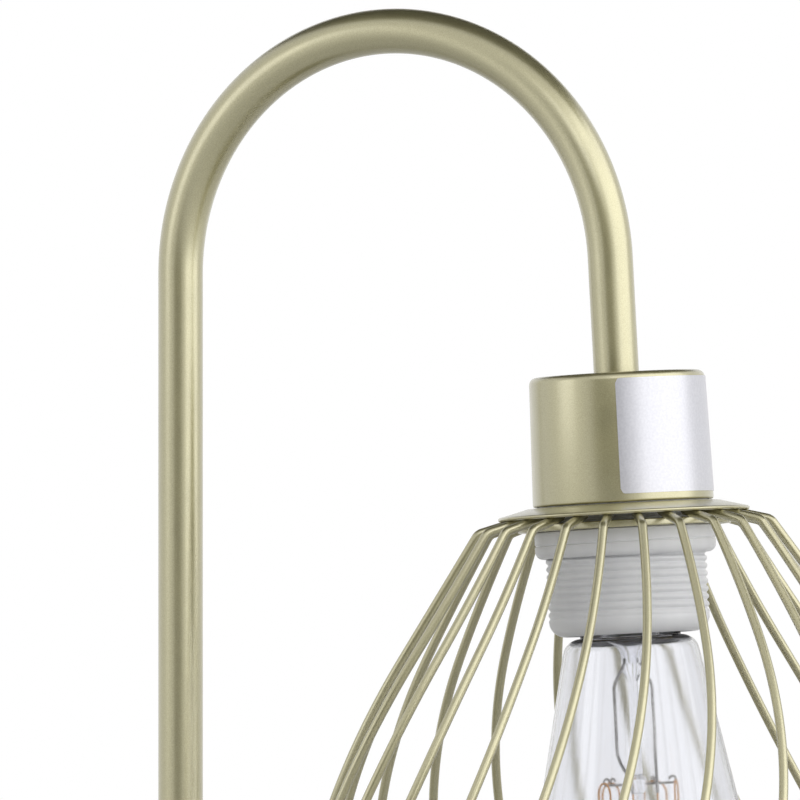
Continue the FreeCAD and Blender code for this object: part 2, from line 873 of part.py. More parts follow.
# Lock washer and nut that hold the cup against the end of the leg.
washer = turned(
    "cup_lock_washer",
    ring_outline(
        STUD_HOLE / 2,
        size("washer_dia") / 2,
        -(cup_wall + size("washer_thickness")),
        -cup_wall,
    ),
)
keep(washer, "cup_lock_washer", IN_HEAD)
nut = padded(
    "cup_nut",
    polygon(6, size("nut_flats")),
    [(0, 0, STUD_HOLE)],
    -NUT_BASE,
    size("nut_height"),
)
keep(nut, "cup_nut", IN_HEAD)

# Holder dome: the upper half of the lampholder, screwed on the stud.
dome_wall = size("dome_wall")
boss_radius = size("dome_boss_dia") / 2
boss_end = STUD_END - dome_wall
slope_end = boss_end + size("dome_slope")
dome = turned(
    "holder_dome",
    [
        (STUD_HOLE / 2, -DOME_TOP),
        (boss_radius, -DOME_TOP),
        (boss_radius, -boss_end),
        (DOME_RADIUS, -slope_end),
        (DOME_RADIUS, -FLANGE_TOP),
        (DOME_RADIUS - dome_wall, -FLANGE_TOP),
        (DOME_RADIUS - dome_wall, -(slope_end + dome_wall)),
        (boss_radius - dome_wall, -STUD_END),
        (STUD_HOLE / 2, -STUD_END),
    ],
)
keep(dome, "holder_dome", IN_HEAD)

# Holder skirt: the threaded lower half of the lampholder that the shade hangs from.
spigot_radius = DOME_RADIUS - dome_wall - size("spigot_clearance")
spigot_top = FLANGE_TOP - size("skirt_spigot")
core_bore = CORE_RADIUS + size("spigot_clearance")
lip = size("skirt_lip_round")
seat_level = CORE_BOTTOM + size("core_seat")
skirt = turned(
    "holder_skirt",
    [
        (core_bore, -spigot_top),
        (core_bore, -seat_level),
        (SKIRT_BORE, -seat_level),
        (SKIRT_BORE, -SKIRT_BOTTOM),
        (SKIRT_RADIUS - lip, -SKIRT_BOTTOM),
        (SKIRT_RADIUS, -(SKIRT_BOTTOM - lip), SKIRT_RADIUS - lip, -(SKIRT_BOTTOM - lip)),
        (SKIRT_RADIUS, -FLANGE_BASE),
        (FLANGE_RADIUS, -FLANGE_BASE),
        (FLANGE_RADIUS, -FLANGE_TOP),
        (spigot_radius, -FLANGE_TOP),
        (spigot_radius, -spigot_top),
    ],
)
doc.recompute()
skirt_volume = skirt.Shape.Volume
thread_sketch = skirt.newObject("Sketcher::SketchObject", "thread_outline")
attach(thread_sketch, skirt, "XZ_Plane")
thread_top = FLANGE_BASE + size("thread_lead")
thread_half = size("thread_groove") / 2
draw(
    thread_sketch,
    [
        (SKIRT_RADIUS - size("thread_depth"), -(thread_top + thread_half)),
        (SKIRT_RADIUS + size("thread_clearance"), -(thread_top + thread_half * 2)),
        (SKIRT_RADIUS + size("thread_clearance"), -thread_top),
    ],
)
thread_cut = skirt.newObject("PartDesign::Groove", "thread_groove")
thread_cut.Profile = thread_sketch
thread_cut.ReferenceAxis = (thread_sketch, ["V_Axis"])
thread_cut.Angle = 360
check_cut(skirt, skirt_volume)
threads = skirt.newObject("PartDesign::LinearPattern", "thread_grooves")
threads.Originals = [thread_cut]
threads.Direction = (thread_sketch, ["V_Axis"])
threads.Reversed = True
thread_span = (size("skirt_length") - size("thread_lead") - lip).value
thread_count = int(thread_span / size("thread_pitch").value) + 1
thread_length = size("thread_pitch") * (thread_count - 1)
threads.Length = thread_length.value
threads.setExpression("Length", thread_length.text)
threads.Occurrences = thread_count
skirt.Tip = threads
keep(skirt, "holder_skirt", IN_HEAD)

# Holder core: the ceramic insert that carries the contacts.
core = turned(
    "holder_core",
    [
        (size("plunger_bore") / 2, -CORE_BOTTOM),
        (SHELL_OUTER, -CORE_BOTTOM),
        (SHELL_OUTER, -seat_level),
        (CORE_RADIUS, -seat_level),
        (CORE_RADIUS, -CORE_TOP),
        (size("plunger_bore") / 2, -CORE_TOP),
    ],
)
neutral_x = -size("neutral_terminal_shift")
rivet_hole = size("rivet_dia") + size("screw_clearance")
pocket(
    core,
    -CORE_TOP,
    CORE_BOTTOM - CORE_TOP,
    [(neutral_x, 0, rivet_hole)],
)
keep(core, "holder_core", IN_HEAD)

# Screw shell: the thin metal sleeve that the bulb's cap screws into.
shell = turned(
    "screw_shell",
    [
        (size("shell_flange_hole") / 2, -(CORE_BOTTOM + size("shell_wall"))),
        (SHELL_INNER, -(CORE_BOTTOM + size("shell_wall"))),
        (SHELL_INNER, -(CORE_BOTTOM + size("shell_length"))),
        (SHELL_OUTER, -(CORE_BOTTOM + size("shell_length"))),
        (SHELL_OUTER, -CORE_BOTTOM),
        (size("shell_flange_hole") / 2, -CORE_BOTTOM),
    ],
)
pocket(shell, -CORE_BOTTOM, size("shell_wall"), [(neutral_x, 0, rivet_hole)])
keep(shell, "screw_shell", IN_HEAD)

# Terminals: two brass blocks on top of the core, each with a clamping screw.
terminal_screw_hole = size("terminal_screw_dia") + size("screw_clearance")
live_x = size("live_screw_shift")
live = padded(
    "live_terminal",
    rectangle(size("live_terminal_length"), size("terminal_width"), size("live_terminal_shift")),
    [(live_x, 0, terminal_screw_hole)],
    -CORE_TOP,
    size("terminal_height"),
)
keep(live, "live_terminal", IN_HEAD)
neutral = padded(
    "neutral_terminal",
    rectangle(size("neutral_terminal_length"), size("terminal_width"), neutral_x),
    [(neutral_x, 0, terminal_screw_hole)],
    -CORE_TOP,
    size("terminal_height"),
)
keep(neutral, "neutral_terminal", IN_HEAD)
terminal_screws = []
for number, x in enumerate((live_x, neutral_x)):
    screw = turned(
        "terminal_screw_%d" % number,
        [
            (0, -TERMINAL_TOP),
            (0, -(TERMINAL_TOP + size("terminal_screw_reach"))),
            (size("terminal_screw_dia") / 2, -(TERMINAL_TOP + size("terminal_screw_reach"))),
            (size("terminal_screw_dia") / 2, -TERMINAL_TOP),
            (size("terminal_screw_head_dia") / 2, -TERMINAL_TOP),
            (
                size("terminal_screw_head_dia") / 2,
                -(TERMINAL_TOP - size("terminal_screw_head")),
            ),
            (0, -(TERMINAL_TOP - size("terminal_screw_head"))),
        ],
    )
    screw.Placement = FreeCAD.Placement(Vector(x.value, 0, 0), FreeCAD.Rotation())
    terminal_screws.append(screw)
keep(grouped("terminal_screws", terminal_screws), "terminal_screws", IN_HEAD)

# Shell rivet: joins the neutral terminal to the screw shell through the core.
rivet = turned(
    "shell_rivet",
    [
        (0, -CORE_TOP),
        (size("rivet_dia") / 2, -CORE_TOP),
        (size("rivet_dia") / 2, -(CORE_BOTTOM + size("shell_wall"))),
        (size("rivet_head_dia") / 2, -(CORE_BOTTOM + size("shell_wall"))),
        (size("rivet_head_dia") / 2, -(CORE_BOTTOM + size("shell_wall") * 2)),
        (0, -(CORE_BOTTOM + size("shell_wall") * 2)),
    ],
)
keep(
    rivet,
    "shell_rivet",
    IN_HEAD.multiply(FreeCAD.Placement(Vector(neutral_x.value, 0, 0), FreeCAD.Rotation())),
)

# Lead cores: the two insulated wires from the end of the lead to the terminals.
half_spacing = size("core_spacing").value / 2
bend = size("core_bend").value
sheath_level = -SHEATH_END.value
landing_level = -TERMINAL_TOP.value
live_core = Part.LineSegment(
    Vector(half_spacing, 0, sheath_level), Vector(half_spacing, 0, landing_level)
)
down = Vector(0, 0, -1)
core_start = Vector(-half_spacing, 0, sheath_level)
core_turn = core_start + down * size("core_drop").value
core_goal = Vector(neutral_x.value, size("core_landing").value, landing_level)
core_way = Vector(core_goal.x - core_start.x, core_goal.y - core_start.y, 0).normalize()
run_start = core_turn + (core_way + down) * bend
run_end = Vector(core_goal.x, core_goal.y, run_start.z) - core_way * bend
run_over = run_end + (core_way + down) * bend
neutral_core = [
    Part.LineSegment(core_start, core_turn).toShape(),
    tangent_arc(core_turn, down, run_start),
    Part.LineSegment(run_start, run_end).toShape(),
    tangent_arc(run_end, core_way, run_over),
    Part.LineSegment(run_over, core_goal).toShape(),
]
core_wires = [
    round_wire([live_core.toShape()], size("core_dia").value),
    round_wire(neutral_core, size("core_dia").value),
]
keep(shaped("lead_cores", core_wires), "lead_cores", IN_HEAD)

# Contact plunger: the sprung centre contact that presses on the tip of the bulb.
plunger_bottom = CORE_BOTTOM + size("plunger_reach")
plunger_top = plunger_bottom - size("plunger_length")
plunger_radius = size("plunger_bore") / 2 - size("plunger_clearance")
plunger = turned(
    "contact_plunger", ring_outline(0, plunger_radius, -plunger_bottom, -plunger_top)
)
keep(plunger, "contact_plunger", IN_HEAD)

# Contact spring: the coil between the live terminal and the plunger.
coil_outer = size("plunger_bore") / 2 - size("spring_clearance")
coil_radius = (coil_outer - size("spring_wire") / 2).value
coil_inset = (size("spring_wire") / 2 + size("spring_end_gap")).value
coil_top = -CORE_TOP.value - coil_inset
coil_bottom = -plunger_top.value + coil_inset
coil_turns = size("spring_turns").value
coil_steps = int(round(4 * coil_turns))
coil_drop = (coil_top - coil_bottom) / coil_steps
coil_quarter = coil_radius * math.pi / 2


def coil_point(step):
    """A point of the spring, counted in quarter turns from its top."""
    angle = step * math.pi / 2
    return Vector(
        coil_radius * math.cos(angle), coil_radius * math.sin(angle), coil_top - step * coil_drop
    )


def coil_way(step):
    """The direction of the spring's wire at a quarter turn."""
    angle = step * math.pi / 2
    way = Vector(-coil_quarter * math.sin(angle), coil_quarter * math.cos(angle), -coil_drop)
    return way.normalize()


coil_edges = []
for step in range(coil_steps):
    coil_edges += biarc(
        coil_point(step), coil_way(step), coil_point(step + 1), coil_way(step + 1)
    )
print("least gap between spring turns", round(4 * coil_drop - size("spring_wire").value, 3))
spring = shaped("contact_spring", [round_wire(coil_edges, size("spring_wire").value)])
keep(spring, "contact_spring", IN_HEAD)

# Cage disc: the dished plate over the wires, clamped under the lampholder's flange.
disc_top = FLANGE_BASE + size("disc_seat")
disc_base = disc_top + size("disc_thickness")
disc_hole = SKIRT_RADIUS + size("disc_hole_gap")
flat_radius = disc_hole + size("disc_flat")
rim_radius = flat_radius + size("disc_brim")
disc = turned(
    "cage_disc",
    [
        (disc_hole, -disc_base),
        (flat_radius, -disc_base),
        (rim_radius, -(disc_base + size("disc_drop"))),
        (rim_radius, -(disc_top + size("disc_drop"))),
        (flat_radius, -disc_top),
        (disc_hole, -disc_top),
    ],
)
keep(disc, "cage_disc", IN_HEAD)

# Cage wires: welded under the disc, bent over its rim and twisted all the way down the shade.
wire_radius = size("wire_dia").value / 2
disc_slope = math.atan2(size("disc_drop").value, (rim_radius - flat_radius).value)
weld_depth = (wire_radius + size("wire_weld_gap").value) / math.cos(disc_slope)
inner_radius = (flat_radius + size("wire_weld_inset")).value
weld_level = (
    disc_base.value + (inner_radius - flat_radius.value) * math.tan(disc_slope) + weld_depth
)
run_radius = (rim_radius + size("wire_overhang")).value
run_level = weld_level + (run_radius - inner_radius) * math.tan(disc_slope)
flare = math.radians(size("cage_flare_angle").value)
knee = math.radians(size("cage_knee_angle").value)
closing = math.radians(size("cage_closing_angle").value)
bend_turn = math.pi / 2 - flare - disc_slope
bend_chord = 2 * size("wire_bend").value * math.sin(bend_turn / 2)
neck_radius = run_radius + bend_chord * math.cos(disc_slope + bend_turn / 2)
neck_level = run_level + bend_chord * math.sin(disc_slope + bend_turn / 2)
flare_length = size("cage_flare_length").value
shoulder_radius = size("cage_shoulder_radius").value
belly_radius = size("cage_belly_radius").value
shoulder_length = shoulder_radius * (flare - knee)
belly_length = belly_radius * (knee + closing)
cage_length = flare_length + shoulder_length + belly_length


def cage_profile(length):
    """Radius, level and slope from the axis at a length down the cage's side."""
    run = min(length, flare_length)
    radius = neck_radius + run * math.sin(flare)
    level = neck_level + run * math.cos(flare)
    slope = flare
    if length > flare_length:
        slope = flare - min(length - flare_length, shoulder_length) / shoulder_radius
        radius += shoulder_radius * (math.cos(slope) - math.cos(flare))
        level += shoulder_radius * (math.sin(flare) - math.sin(slope))
    if length > flare_length + shoulder_length:
        slope = knee - (length - flare_length - shoulder_length) / belly_radius
        radius += belly_radius * (math.cos(slope) - math.cos(knee))
        level += belly_radius * (math.sin(knee) - math.sin(slope))
    return radius, level, slope


end_radius, end_level, end_slope = cage_profile(cage_length)
cage_depth = end_level - neck_level
cage_twist = math.radians(size("cage_twist").value)
twist_growth = math.radians(size("cage_twist_growth").value)


def cage_point(length):
    """A point of the first wire, and the wire's direction there."""
    radius, level, slope = cage_profile(length)
    share = (level - neck_level) / cage_depth
    angle = -(cage_twist + twist_growth * share) * share
    angle_rate = -(cage_twist + 2 * twist_growth * share) / cage_depth * math.cos(slope)
    outward = Vector(math.cos(angle), math.sin(angle), 0)
    sideways = Vector(-math.sin(angle), math.cos(angle), 0)
    place = outward * radius + down * level
    way = outward * math.sin(slope) + down * math.cos(slope) + sideways * (radius * angle_rate)
    return place, way.normalize()


cage_spans = int(round(size("wire_spans").value))
weld_start = Vector(inner_radius, 0, -weld_level)
weld_end = Vector(run_radius, 0, -run_level)
weld_way = (weld_end - weld_start).normalize()
ring_wire_radius = size("bottom_ring_wire").value / 2
wire_end_gap = ring_wire_radius + size("bottom_ring_gap").value
stations = [cage_point(cage_length * step / cage_spans) for step in range(cage_spans + 1)]
wire_edges = [Part.LineSegment(weld_start, weld_end).toShape()]
wire_edges += biarc(weld_end, weld_way, *stations[0])
for (place, way), (next_place, next_way) in zip(stations, stations[1:]):
    wire_edges += biarc(place, way, next_place, next_way)
first_wire = round_wire(wire_edges, size("wire_dia").value)
cage_wires = []
wire_count = int(round(size("wire_count").value))
for number in range(wire_count):
    wire = first_wire.copy()
    turn = size("wire_phase").value + 360.0 * number / wire_count
    wire.rotate(Vector(), Vector(0, 0, 1), turn)
    cage_wires.append(wire)
keep(shaped("cage_wires", cage_wires), "cage_wires", IN_HEAD)

# Bottom ring: the round bar that the lower ends of the wires are welded to.
bottom_ring = doc.addObject("Part::Torus", "cage_bottom_ring")
bottom_ring.Radius1 = end_radius + wire_end_gap * math.sin(end_slope)
bottom_ring.Radius2 = ring_wire_radius
bottom_ring.setExpression("Radius2", (size("bottom_ring_wire") / 2).text)
ring_level = end_level + wire_end_gap * math.cos(end_slope)
ring_place = FreeCAD.Placement(down * ring_level, FreeCAD.Rotation())
keep(bottom_ring, "cage_bottom_ring", IN_HEAD.multiply(ring_place))

# Clamp ring: the flat ring under the inner ends of the wires.
clamp_radius = flat_radius + size("clamp_ring_brim")
clamp_slope = size("disc_drop") / size("disc_brim")
clamp_top = (
    disc_base
    + (clamp_radius - flat_radius) * clamp_slope
    + (size("wire_dia") + size("wire_weld_gap")) / math.cos(disc_slope)
    + size("wire_weld_gap")
)
clamp_base = clamp_top + size("clamp_ring_thickness")
clamp = turned(
    "cage_clamp_ring", ring_outline(disc_hole, clamp_radius, -clamp_base, -clamp_top)
)
keep(clamp, "cage_clamp_ring", IN_HEAD)

# Shade ring: the plastic ring on the skirt's thread that holds the cage up.
shade_top = clamp_base + size("shade_ring_gap")
shade_base = shade_top + size("shade_ring_height")
shade_bore = SKIRT_RADIUS + size("thread_clearance")
shade_radius = shade_bore + size("shade_ring_wall")
shade_round = size("shade_ring_round")
shade_ring = turned(
    "shade_ring",
    [
        (shade_bore, -shade_base),
        (shade_radius - shade_round, -shade_base),
        (
            shade_radius,
            -(shade_base - shade_round),
            shade_radius - shade_round,
            -(shade_base - shade_round),
        ),
        (shade_radius, -shade_top),
        (shade_bore, -shade_top),
    ],
)
keep(shade_ring, "shade_ring", IN_HEAD)

# Bulb cap: the tip, the insulator and the screw cap, stacked under the plunger.
tip_top = plunger_bottom + size("tip_gap")
tip_base = tip_top + size("tip_height")
tip_radius = size("tip_dia") / 2
tip = turned("cap_tip", ring_outline(0, tip_radius, -tip_base, -tip_top))
keep(tip, "cap_tip", IN_HEAD)
insulator_base = tip_base + size("insulator_height")
cap_radius = SHELL_INNER - size("cap_clearance")
collar_edge = cap_radius - size("cap_shoulder") - size("cap_wall")
insulator = turned(
    "cap_insulator",
    [
        (0, -insulator_base),
        (collar_edge, -insulator_base),
        (tip_radius, -tip_base),
        (0, -tip_base),
    ],
)
keep(insulator, "cap_insulator", IN_HEAD)
cap_base = insulator_base + size("cap_length")
cap_wall = size("cap_wall")
cap = turned(
    "bulb_cap",
    [
        (collar_edge, -insulator_base),
        (collar_edge, -(insulator_base + cap_wall)),
        (cap_radius - cap_wall, -(insulator_base + size("cap_shoulder") + cap_wall)),
        (cap_radius - cap_wall, -cap_base),
        (cap_radius, -cap_base),
        (cap_radius, -(insulator_base + size("cap_shoulder"))),
        (collar_edge + cap_wall, -insulator_base),
    ],
)
keep(cap, "bulb_cap", IN_HEAD)

# Bulb glass: a neck, a rounded shoulder, a long cone and a round end, blown as one thin wall.
cone = size("globe_cone_angle")
globe = size("globe_radius")
glass_wall = size("glass_wall")
shoulder = size("shoulder_round")
shoulder_level = SKIRT_BOTTOM + size("shoulder_drop")
globe_level = shoulder_level + size("globe_drop")
neck = cap_radius - cap_wall - size("neck_clearance")
neck_top = cap_base - size("cap_shoulder")
neck_end = shoulder_level - size("neck_taper")
cone_start = shoulder_level - shoulder * sine(cone)
cone_reach = globe_level - globe * sine(cone) - cone_start
shoulder_x = globe * cosine(cone) - cone_reach * tangent(cone) - shoulder * cosine(cone)


def glass_side(inset):
    """Corners down one face of the glass, set in from its outside."""
    ball = globe - inset
    bend = shoulder - inset
    return [
        (neck - inset, -neck_top),
        (neck - inset, -(neck_end + inset)),
        (shoulder_x, -(shoulder_level - bend)),
        (
            shoulder_x + bend * cosine(cone),
            -(shoulder_level - bend * sine(cone)),
            shoulder_x,
            -shoulder_level,
        ),
        (ball * cosine(cone), -(globe_level - ball * sine(cone))),
        (as_size(0), -(globe_level + ball), as_size(0), -globe_level),
    ]


outer_side = glass_side(as_size(0))
inner_side = glass_side(glass_wall)
inner_back = [
    inner_side[5][:2],
    inner_side[4] + inner_side[5][2:],
    inner_side[3][:2],
    inner_side[2] + inner_side[3][2:],
    inner_side[1],
    inner_side[0],
]
glass = turned("bulb_glass", outer_side + inner_back)
keep(glass, "bulb_glass", IN_HEAD)

# Bulb stem: the glass foot, pinch and rod that carry the filament.
stem_radius = size("stem_radius")
hub_radius = size("hub_radius")
flare_level = neck_end - size("stem_flare_lift")
flare_radius = neck - glass_wall - size("stem_flare_gap")
pinch_level = flare_level + size("stem_pinch_drop")
pinch_radius = size("stem_pinch_radius")
strand_top = pinch_level + size("strand_drop")
strand_bottom = strand_top + size("strand_length")
strand_count = int(round(size("strand_count").value))
strand_step = 2 * math.pi / strand_count
strand_start = math.radians(size("strand_start").value)
loop_radius = size("strand_radius") * math.sin(strand_step / 2)
hook_slack = (size("filament_wire") + size("hook_wire")) / 2 + size("wire_weld_gap")
upper_hook_level = strand_top - loop_radius + hook_slack
lower_hook_level = strand_bottom + loop_radius - hook_slack
hub_top = upper_hook_level - size("hub_height") / 2
hub_base = upper_hook_level + size("hub_height") / 2
stem_end = lower_hook_level + size("stem_end")
stem = turned(
    "bulb_stem",
    [
        (0, -flare_level),
        (flare_radius, -flare_level),
        (pinch_radius, -(flare_level + size("stem_flare_height"))),
        (pinch_radius, -pinch_level),
        (stem_radius, -(pinch_level + pinch_radius)),
        (stem_radius, -hub_top),
        (hub_radius, -hub_top),
        (hub_radius, -hub_base),
        (stem_radius, -hub_base),
        (stem_radius, -stem_end),
        (0, -stem_end),
    ],
)
keep(stem, "bulb_stem", IN_HEAD)

# Filament: one thin wire that runs up and down between the hooks, round the stem.
strand_radius = size("strand_radius").value
filament_wire = size("filament_wire").value
hook_wire = size("hook_wire").value


def strand_point(number, level):
    """A point of one straight strand."""
    angle = strand_start + number * strand_step
    return Vector(strand_radius * math.cos(angle), strand_radius * math.sin(angle), -level)


filament_edges = []
for number in range(strand_count):
    goes_down = number % 2 == 0
    levels = (strand_top, strand_bottom) if goes_down else (strand_bottom, strand_top)
    start = strand_point(number, levels[0].value)
    end = strand_point(number, levels[1].value)
    filament_edges.append(Part.LineSegment(start, end).toShape())
    if number < strand_count - 1:
        beside = strand_point(number + 1, levels[1].value)
        way = (end - start).normalize()
        crest = (end + beside) * 0.5 + way * loop_radius.value
        filament_edges.append(Part.Arc(end, crest, beside).toShape())
filament = shaped("filament", [round_wire(filament_edges, filament_wire)])
keep(filament, "filament", IN_HEAD)

# Filament hooks: short wires from the hub and from the end of the rod into every loop.
loop_reach = strand_radius * math.cos(strand_step / 2) + hook_wire
hooks = []
for number in range(strand_count - 1):
    angle = strand_start + (number + 0.5) * strand_step
    outward = Vector(math.cos(angle), math.sin(angle), 0)
    low = number % 2 == 0
    level = lower_hook_level if low else upper_hook_level
    root_radius = (stem_radius if low else hub_radius) + size("wire_weld_gap")
    root = outward * root_radius.value + down * level.value
    tip = outward * loop_reach + down * level.value
    hooks.append(round_wire([Part.LineSegment(root, tip).toShape()], hook_wire))
keep(shaped("filament_hooks", hooks), "filament_hooks", IN_HEAD)

# Bulb leads: the two stiff wires that come down on both sides of the rod and bend over to the ends
# of the filament.
bulb_lead_wire = size("inner_lead_wire").value
lead_spread = size("inner_lead_spread").value
lead_turn = math.radians(size("inner_lead_turn").value)
gap_middle = strand_start - strand_step / 2
tip_level = strand_top.value - bulb_lead_wire
bulb_leads = []
for number, angle in ((0, gap_middle + lead_turn), (strand_count - 1, gap_middle - lead_turn)):
    outward = Vector(math.cos(angle), math.sin(angle), 0)
    root = outward * (pinch_radius.value + bulb_lead_wire) + down * pinch_level.value
    spread = outward * lead_spread + down * (pinch_level.value + lead_spread)
    bend = outward * lead_spread + down * (tip_level - size("inner_lead_bend").value)
    lead_edges = biarc(root, down, spread, down)
    lead_edges.append(Part.LineSegment(spread, bend).toShape())
    lead_edges += biarc(bend, down, strand_point(number, tip_level), down)
    bulb_leads.append(round_wire(lead_edges, bulb_lead_wire))
keep(shaped("bulb_leads", bulb_leads), "bulb_leads", IN_HEAD)

doc.recompute()
for item in doc.Objects:
    if "Invalid" in item.State or "Error" in item.State:
        raise RuntimeError("%s failed: %s" % (item.Name, item.State))
for piece in sub_parts:
    if piece.Shape.isNull() or not piece.Shape.isValid():
        raise RuntimeError("%s has no valid shape" % piece.Label)
os.makedirs("parts", exist_ok=True)
for piece in sub_parts:
    piece.Shape.exportStep("parts/%s.step" % piece.Label)
    print(piece.Label, len(piece.Shape.Solids), round(piece.Shape.Volume, 1))
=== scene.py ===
"""Looks of a table lamp: gold painted arch and cage, white lampholder, clear filament bulb.

Metres, +Z up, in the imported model's own frame. The sections follow the lamp from the table up.
"""
import json
import math

import bmesh
import bpy
from mathutils import Matrix, Vector, noise


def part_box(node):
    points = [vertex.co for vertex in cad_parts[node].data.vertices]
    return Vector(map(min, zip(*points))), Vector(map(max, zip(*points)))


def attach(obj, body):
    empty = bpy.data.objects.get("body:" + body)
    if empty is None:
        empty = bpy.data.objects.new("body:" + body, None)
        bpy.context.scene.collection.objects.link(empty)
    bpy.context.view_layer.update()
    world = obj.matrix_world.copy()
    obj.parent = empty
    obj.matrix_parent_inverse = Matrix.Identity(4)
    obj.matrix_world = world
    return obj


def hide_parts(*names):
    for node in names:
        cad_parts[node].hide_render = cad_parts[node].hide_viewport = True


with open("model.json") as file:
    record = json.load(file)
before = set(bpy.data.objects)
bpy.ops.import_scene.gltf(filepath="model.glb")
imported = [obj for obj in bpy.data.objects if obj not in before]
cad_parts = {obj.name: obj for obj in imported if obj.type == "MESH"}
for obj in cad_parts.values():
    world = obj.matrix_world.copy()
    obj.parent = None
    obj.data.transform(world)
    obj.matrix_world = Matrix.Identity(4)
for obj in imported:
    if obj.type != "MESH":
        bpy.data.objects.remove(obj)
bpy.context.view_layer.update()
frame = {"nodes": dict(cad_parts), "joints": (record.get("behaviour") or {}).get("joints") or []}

# Felt pad: a disc of pressed black wool felt, glued under the base so that the lamp doesn't scratch
# the table. It is cut with a die, so its edge is soft and a little uneven.
pad_low, pad_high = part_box("felt_pad")
pad_radius = pad_high.x
pad_edge_round = 0.0006
pad_edge_wander = 0.0002
pad_edge_waves = 60
FULL_TURN = 2 * math.pi
merge_distance = 1e-7
sliver_length = 1e-8


def rounded_outline(corners, steps=6):
    """Points round a closed outline of (radius, level, rounding) corners, with the corners rounded off."""
    points = []
    for index, (radius, level, rounding) in enumerate(corners):
        corner = Vector((radius, level))
        if rounding == 0:
            points.append(corner)
            continue
        before = (Vector(corners[index - 1][:2]) - corner).normalized()
        after = (Vector(corners[(index + 1) % len(corners)][:2]) - corner).normalized()
        half = before.angle(after) / 2
        reach = rounding / math.tan(half)
        centre = corner + (before + after).normalized() * (rounding / math.sin(half))
        first = (corner + before * reach - centre).normalized()
        last = (corner + after * reach - centre).normalized()
        points += [centre + first.slerp(last, step / steps) * rounding for step in range(steps + 1)]
    return points


def new_piece(name, mesh, smooth_angle=38.0):
    """An object for a finished mesh, shaded smooth except at its sharp edges."""
    mesh.polygons.foreach_set("use_smooth", [True] * len(mesh.polygons))
    mesh.set_sharp_from_angle(angle=math.radians(smooth_angle))
    piece = bpy.data.objects.new(name, mesh)
    bpy.context.scene.collection.objects.link(piece)
    return piece


def turned(name, outline, place=Matrix.Identity(4), steps=160, shape=None):
    """A piece turned about the Z axis from a closed outline, then put in its place."""
    work = bmesh.new()
    rings = []
    for step in range(steps):
        angle = FULL_TURN * step / steps
        ring = []
        for radius, level in outline:
            point = Vector((radius * math.cos(angle), radius * math.sin(angle), level))
            ring.append(work.verts.new(shape(point) if shape else point))
        rings.append(ring)
    for step in range(steps):
        ring, following = rings[step], rings[(step + 1) % steps]
        for index in range(len(outline)):
            beside = (index + 1) % len(outline)
            work.faces.new((ring[index], following[index], following[beside], ring[beside]))
    bmesh.ops.remove_doubles(work, verts=work.verts, dist=merge_distance)
    bmesh.ops.dissolve_degenerate(work, edges=work.edges, dist=sliver_length)
    bmesh.ops.recalc_face_normals(work, faces=work.faces)
    work.transform(place)
    mesh = bpy.data.meshes.new(name)
    work.to_mesh(mesh)
    work.free()
    return new_piece(name, mesh)


def dress(piece, body, node, material):
    """Give a new piece its material and its body, and hide the model's node that it stands for."""
    piece.data.materials.clear()
    piece.data.materials.append(material)
    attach(piece, body)
    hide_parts(node)


def new_material(name):
    """A material with its nodes, its links and its shader."""
    material = bpy.data.materials.new(name)
    material.use_nodes = True
    nodes = material.node_tree.nodes
    return material, nodes, material.node_tree.links, nodes["Principled BSDF"]


def grain(nodes, links, scale, detail=3.0, stretch=(1, 1, 1)):
    """The output of a noise texture on the piece's own coordinates."""
    coordinates = nodes.new("ShaderNodeTexCoord")
    mapping = nodes.new("ShaderNodeMapping")
    mapping.inputs["Scale"].default_value = stretch
    texture = nodes.new("ShaderNodeTexNoise")
    texture.inputs["Scale"].default_value = scale
    texture.inputs["Detail"].default_value = detail
    links.new(coordinates.outputs["Object"], mapping.inputs["Vector"])
    links.new(mapping.outputs["Vector"], texture.inputs["Vector"])
    return texture.outputs["Fac"]


def shade_between(nodes, links, source, dark, light, shader):
    """Run the colour from dark to light as a noise goes from low to high."""
    ramp = nodes.new("ShaderNodeValToRGB")
    ramp.color_ramp.elements[0].position = 0.35
    ramp.color_ramp.elements[1].position = 0.65
    ramp.color_ramp.elements[0].color = (*dark, 1)
    ramp.color_ramp.elements[1].color = (*light, 1)
    links.new(source, ramp.inputs["Fac"])
    links.new(ramp.outputs["Color"], shader.inputs["Base Color"])


def raise_by(nodes, links, source, strength, distance, shader):
    """Let a noise raise the surface a little."""
    bump = nodes.new("ShaderNodeBump")
    bump.inputs["Strength"].default_value = strength
    bump.inputs["Distance"].default_value = distance
    links.new(source, bump.inputs["Height"])
    links.new(bump.outputs["Normal"], shader.inputs["Normal"])


def black_felt():
    """Pressed wool felt: dull, nearly black, with short fibres that catch the light."""
    material, nodes, links, shader = new_material("black_felt")
    fibres = grain(nodes, links, 1800.0, 5.0)
    shade_between(nodes, links, fibres, (0.012, 0.012, 0.013), (0.05, 0.05, 0.052), shader)
    shader.inputs["Roughness"].default_value = 0.95
    shader.inputs["Sheen Weight"].default_value = 0.4
    shader.inputs["Sheen Roughness"].default_value = 0.6
    raise_by(nodes, links, fibres, 0.7, 0.0004, shader)
    return material


def uneven_edge(point):
    """Move a point of the felt's edge in or out a little."""
    way = Vector((point.x, point.y, 0))
    if way.length < pad_radius / 2:
        return point
    wander = noise.noise(way * pad_edge_waves) * pad_edge_wander - pad_edge_wander
    return point + way.normalized() * wander


felt = turned(
    "felt_disc",
    rounded_outline(
        [
            (0, pad_low.z, 0),
            (pad_radius, pad_low.z, pad_edge_round),
            (pad_radius, pad_high.z, pad_edge_round),
            (0, pad_high.z, 0),
        ]
    ),
    shape=uneven_edge,
)
dress(felt, "stand", "felt_pad", black_felt())


